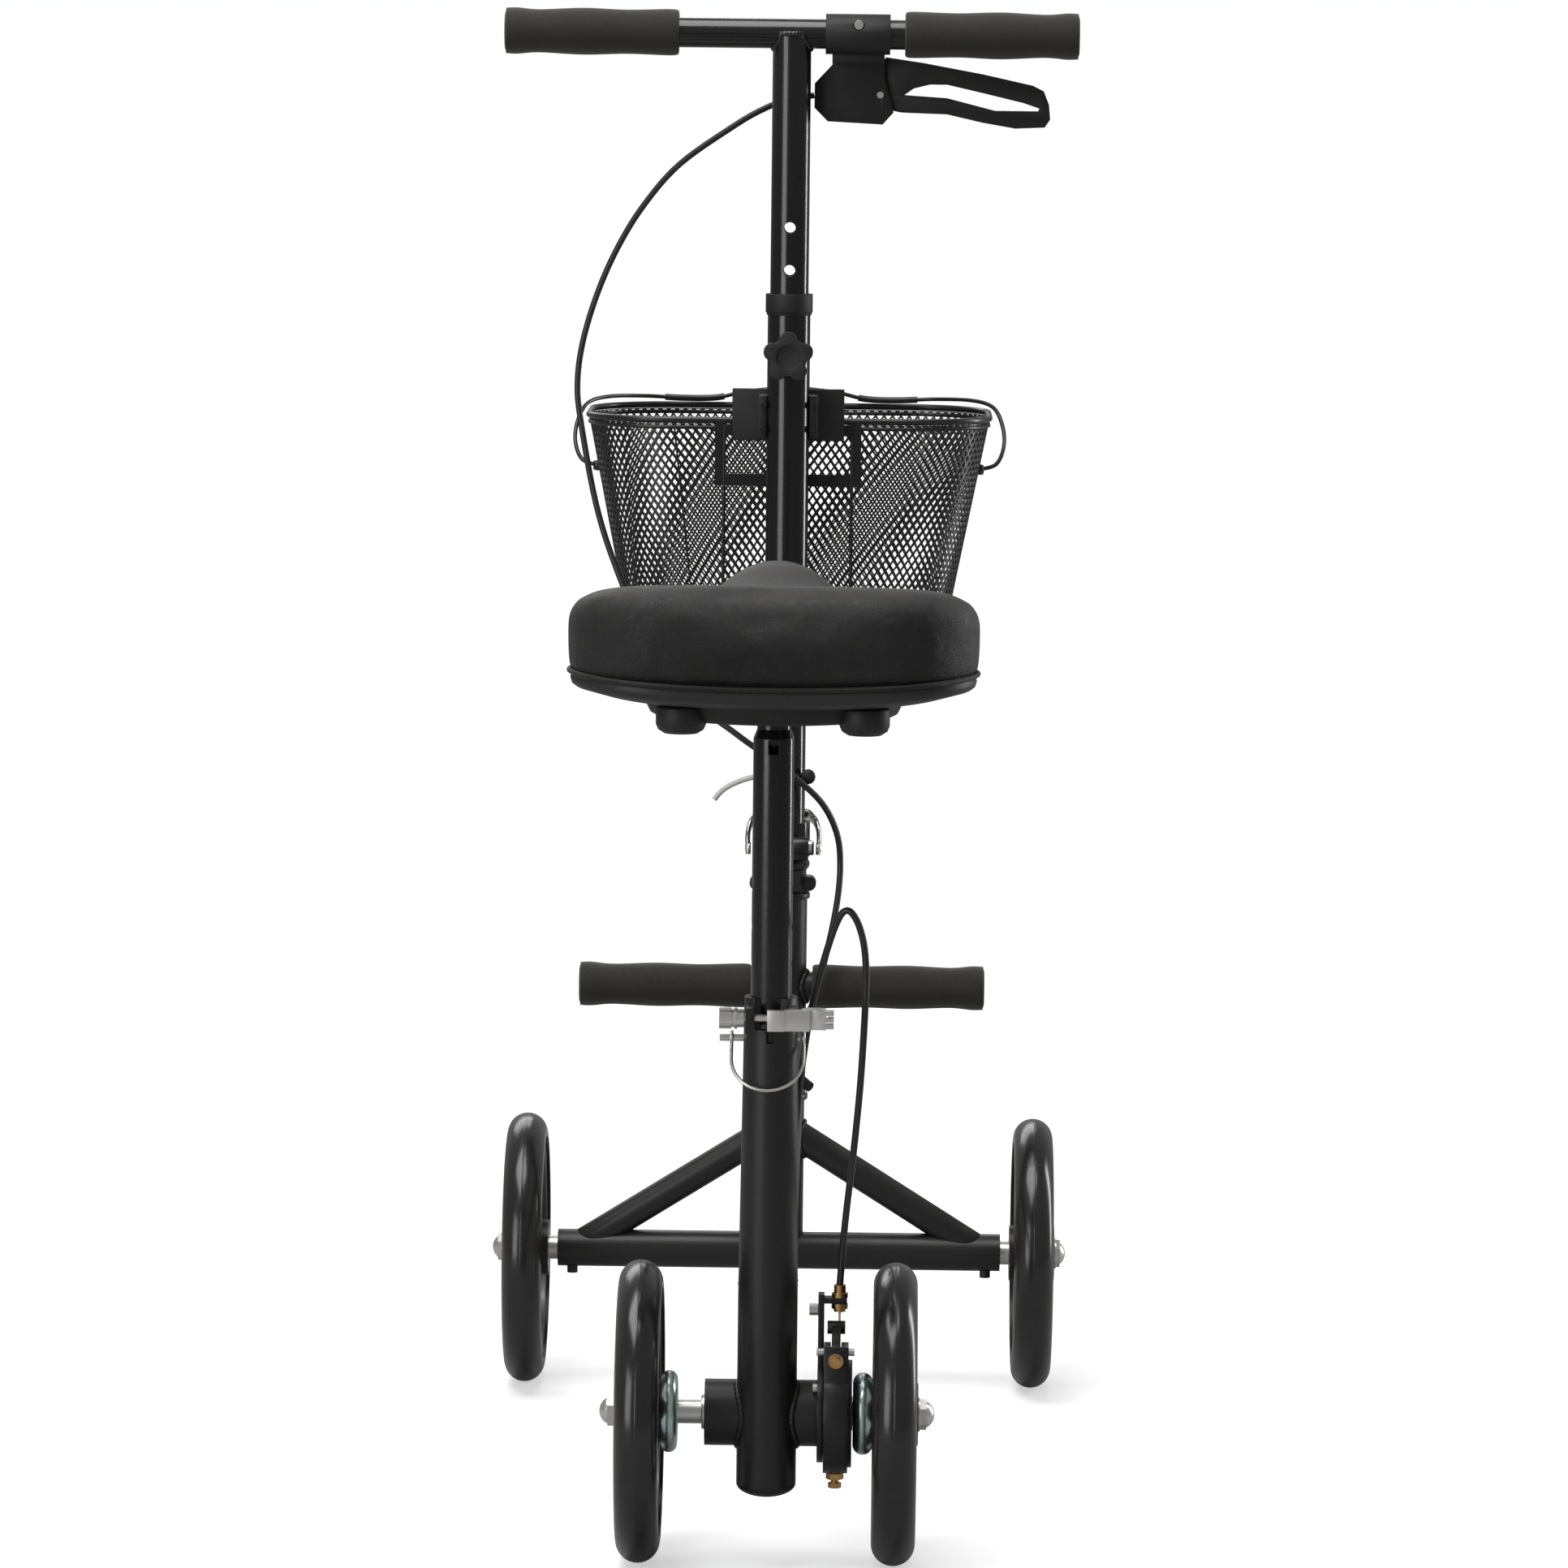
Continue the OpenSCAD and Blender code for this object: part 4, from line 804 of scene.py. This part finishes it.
latchSet = {"half": 0.0262, "thick": 0.0042, "flat": 0.45, "top": 0.4305}
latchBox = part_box("fold_latch")
pinZ = latchBox[0].z + 0.005
reach = latchBox[1].y - 0.005
half, high = latchSet["half"], latchSet["top"]
legs = [(half, frontY + 0.001, pinZ - 0.004), (half + 0.0004, frontY + 0.002, pinZ),
        (half + 0.0006, frontY + 0.005, pinZ + 0.010), (0.0252, frontY + 0.010, pinZ + 0.017),
        (0.0222, frontY + 0.016, pinZ + 0.021), (0.0165, reach - 0.003, high + 0.0005)]
latchRoute = legs + [(0, reach, high)] + [(-x, y, z) for x, y, z in reversed(legs)]
latchLine = smoothLine(latchRoute, 8)
latch = tube("foldLatch", latchLine, latchSet["thick"], 4)
bm = bmesh.new()
bm.from_mesh(latch.data)
for v in bm.verts:  # flattens the rod to a strap on its legs
    k = min(range(len(latchLine)), key=lambda i: (latchLine[i] - v.co).length_squared)
    v.co.x = latchLine[k].x + (v.co.x - latchLine[k].x) * latchSet["flat"]
bm.to_mesh(latch.data)
bm.free()
place(latch, "latch", finishes["chrome"], ["fold_latch"], "chrome")
for side, word in bothSides:
    rivet = lathe("latchRivet" + word, [(side * 0.0245, 0.0001), (side * 0.0245, 0.0048),
                  (side * 0.0272, 0.0046), (side * 0.0286, 0.0028), (side * 0.0288, 0.0001)],
                  (0, frontY + 0.002, pinZ), "X", 24)
    place(rivet, "latch", finishes["steel"], slot="steel")
print("latch made")

# cable tie: black head on the column, pale tail

tieSet = {"height": 0.463, "tailR": 0.0021}
tieZ = tieSet["height"]
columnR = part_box("column_collar")[1].x - 0.0016
band = lathe("tieBand", [(tieZ - 0.0022, columnR), (tieZ - 0.0022, columnR + 0.0012),
             (tieZ + 0.0022, columnR + 0.0012), (tieZ + 0.0022, columnR), (tieZ - 0.0022, columnR)],
             (0, frontY, 0), "Z")
place(band, "column", finishes["black_plastic"], ["cable_tie"], "tie")
knot = lathe("tieHead", [(-0.0035, 0.0001), (-0.0035, 0.0044), (-0.002, 0.0056), (0.002, 0.0056),
             (0.0035, 0.0044), (0.0035, 0.0001)], (columnR + 0.0022, frontY - 0.012, tieZ), "Y", 12)
place(knot, "column", finishes["black_plastic"], slot="tie")
tailSpots = [(-14, -12, -0.5), (-24, -13, -1), (-36, -13, -5), (-46, -12, -11), (-52, -12, -18)]
tailRoute = [(x / 1000, frontY + y / 1000, tieZ + z / 1000) for x, y, z in tailSpots]
tail = tube("tieTail", smoothLine(tailRoute, 6), tieSet["tailR"], 2)
place(tail, "column", finishes["tie"], slot="tie")
print("tie made")

# weld beads where tubes meet

weldSet = {"bead": 0.0021, "ripple": 0.16, "points": 120}


def weldLine(start, way, radius, post, postWay, postRadius):
    way, postWay = Vector(way).normalized(), Vector(postWay).normalized()
    start, post = Vector(start), Vector(post)
    side = way.orthogonal().normalized()
    other = way.cross(side)
    line = []
    for k in range(weldSet["points"]):
        a = 2 * pi * k / weldSet["points"]
        p = start + (side * cos(a) + other * sin(a)) * radius - post
        flatP = p - postWay * p.dot(postWay)
        flatW = way - postWay * way.dot(postWay)
        b = flatP.dot(flatW)
        c = flatP.length_squared - postRadius ** 2
        aa = flatW.length_squared
        root = sqrt(max(b * b - aa * c, 0))
        s = (-b + root) / aa
        line.append(post + p + way * s)
    return line


def weld(name, body, finish, *where):
    ripple = weldSet["ripple"]
    piece = tube(name, weldLine(*where), weldSet["bead"], 2, closed=True,
                 swell=lambda i: 1 + ripple * sin(i * 1.9) + ripple * 0.5 * sin(i * 0.7))
    return place(piece, body, finishes[finish], slot=finish)


upright = (0, 0, 1)
barZ = (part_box("handlebar")[0].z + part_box("handlebar")[1].z) / 2
footZ = (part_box("foot_bar")[0].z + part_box("foot_bar")[1].z) / 2
barR = (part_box("handlebar")[1].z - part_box("handlebar")[0].z) / 2
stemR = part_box("stem_tube")[1].x
seatTubeR = 0.0200
headR = 0.0185
beamWay = Vector((0, frontY - postY, 0.072))
weld("weldBar", "handlebar_set", "tube_paint", (0, frontY, barZ), (0, 0, -1), stemR - 0.0006,
     (0, frontY, barZ), (1, 0, 0), barR)
for side, word in bothSides:
    weld("weldHousing" + word, "frame", "frame_paint", (0, rearY, wheelR), (side, 0, 0), 0.02215,
         (0, postY, 0), upright, seatTubeR)
    weld("weldFoot" + word, "frame", "frame_paint", (0, frontY, footZ), (side, 0, 0), barR,
         (0, frontY, 0), upright, headR)
    weld("weldBraceTop" + word, "steering", "frame_paint", (0, frontY, 0.198),
         (side * 0.154, 0, 0.1015 - 0.198), 0.011, (0, frontY, 0), upright, 0.018)
weld("weldBeamRear", "frame", "frame_paint", (0, postY, 0.190), beamWay, 0.018, (0, postY, 0),
     upright, seatTubeR)
weld("weldBeamFront", "frame", "frame_paint", (0, frontY, 0.262), -beamWay, 0.018,
     (0, frontY, 0), upright, headR)
print("welds made")

# studio

lampSet = {
    "topBox": ((-0.6, -0.4, 3.4), (0, 0, 0.4), (2.4, 2.4), 80),
    "leftBox": ((-2.9, -3.6, 1.4), (0, 0, 0.6), (2.2, 2.8), 56),
    "rightStrip": ((3.1, 1.5, 1.2), (0, 0, 0.6), (0.4, 2.8), 42),
    "backBox": ((-0.8, 3.6, 2.4), (0, 0, 0.5), (2.6, 1.6), 26),
}
studioSet = {"floorR": 40, "sink": 0.0006, "sky": 0.26}
for name, (spot, aim, size, power) in lampSet.items():
    lampData = bpy.data.lights.new(name, "AREA")
    lampData.shape = "RECTANGLE"
    lampData.size, lampData.size_y = size
    lampData.energy = power
    lamp = addObject(name, lampData)
    lamp.matrix_world = (Matrix.Translation(spot) @ (Vector(aim) - Vector(spot))
                         .to_track_quat("-Z", "Y").to_matrix().to_4x4())

bm = bmesh.new()
bmesh.ops.create_circle(bm, cap_ends=True, segments=96,
                         radius=studioSet["floorR"])
bmesh.ops.translate(bm, verts=bm.verts, vec=(0, 0, -studioSet["sink"]))
floor = addMesh("floor", bm)
if floor.data.polygons[0].normal.z < 0:
    floor.data.flip_normals()
pale = Finish("floorPale", Roughness=0.6, Specular_IOR_Level=0.1)
x, y, z = pale.axes()
far = ((x * x + y * y) / 9 - 0.12).limited()  # 0 round the scooter, 1 beyond about 3.2 metres
paleTone = pale.mix(pale.noise(0.7, 2), (0.80, 0.80, 0.80), (0.84, 0.84, 0.84))
paleMat = pale.feed(Base_Color=pale.mix(far, paleTone, (0, 0, 0)))
glow = pale.node("ShaderNodeEmission", None,
                 {"Color": pale.mix(far, (0.50, 0.50, 0.50), (1.02, 1.02, 1.02))})
dull = pale.node("ShaderNodeBsdfDiffuse", None, {"Color": (0.4, 0.4, 0.4)})
lit = pale.node("ShaderNodeAddShader", None, {0: Sock(pale.tree, pale.shader.outputs[0]), 1: glow})
direct = pale.node("ShaderNodeLightPath", out="Is Camera Ray")
seenFloor = pale.node("ShaderNodeMixShader", None, {0: direct, 1: dull, 2: lit})
pale.tree.links.new(seenFloor.out, pale.tree.nodes["Material Output"].inputs["Surface"])
floor.data.materials.append(paleMat)

world = bpy.data.worlds.new("studio")
bpy.context.scene.world = world
world.use_nodes = True
sky = world.node_tree
light = sky.nodes["Background"]
light.inputs["Color"].default_value = (1, 1, 1, 1)
light.inputs["Strength"].default_value = studioSet["sky"]
seen = sky.nodes.new("ShaderNodeBackground")
seen.inputs["Color"].default_value = (1, 1, 1, 1)
rays = sky.nodes.new("ShaderNodeLightPath")
choice = sky.nodes.new("ShaderNodeMixShader")
sky.links.new(rays.outputs["Is Camera Ray"], choice.inputs[0])
sky.links.new(light.outputs[0], choice.inputs[1])
sky.links.new(seen.outputs[0], choice.inputs[2])
sky.links.new(choice.outputs[0], sky.nodes["World Output"].inputs["Surface"])
print("studio made")
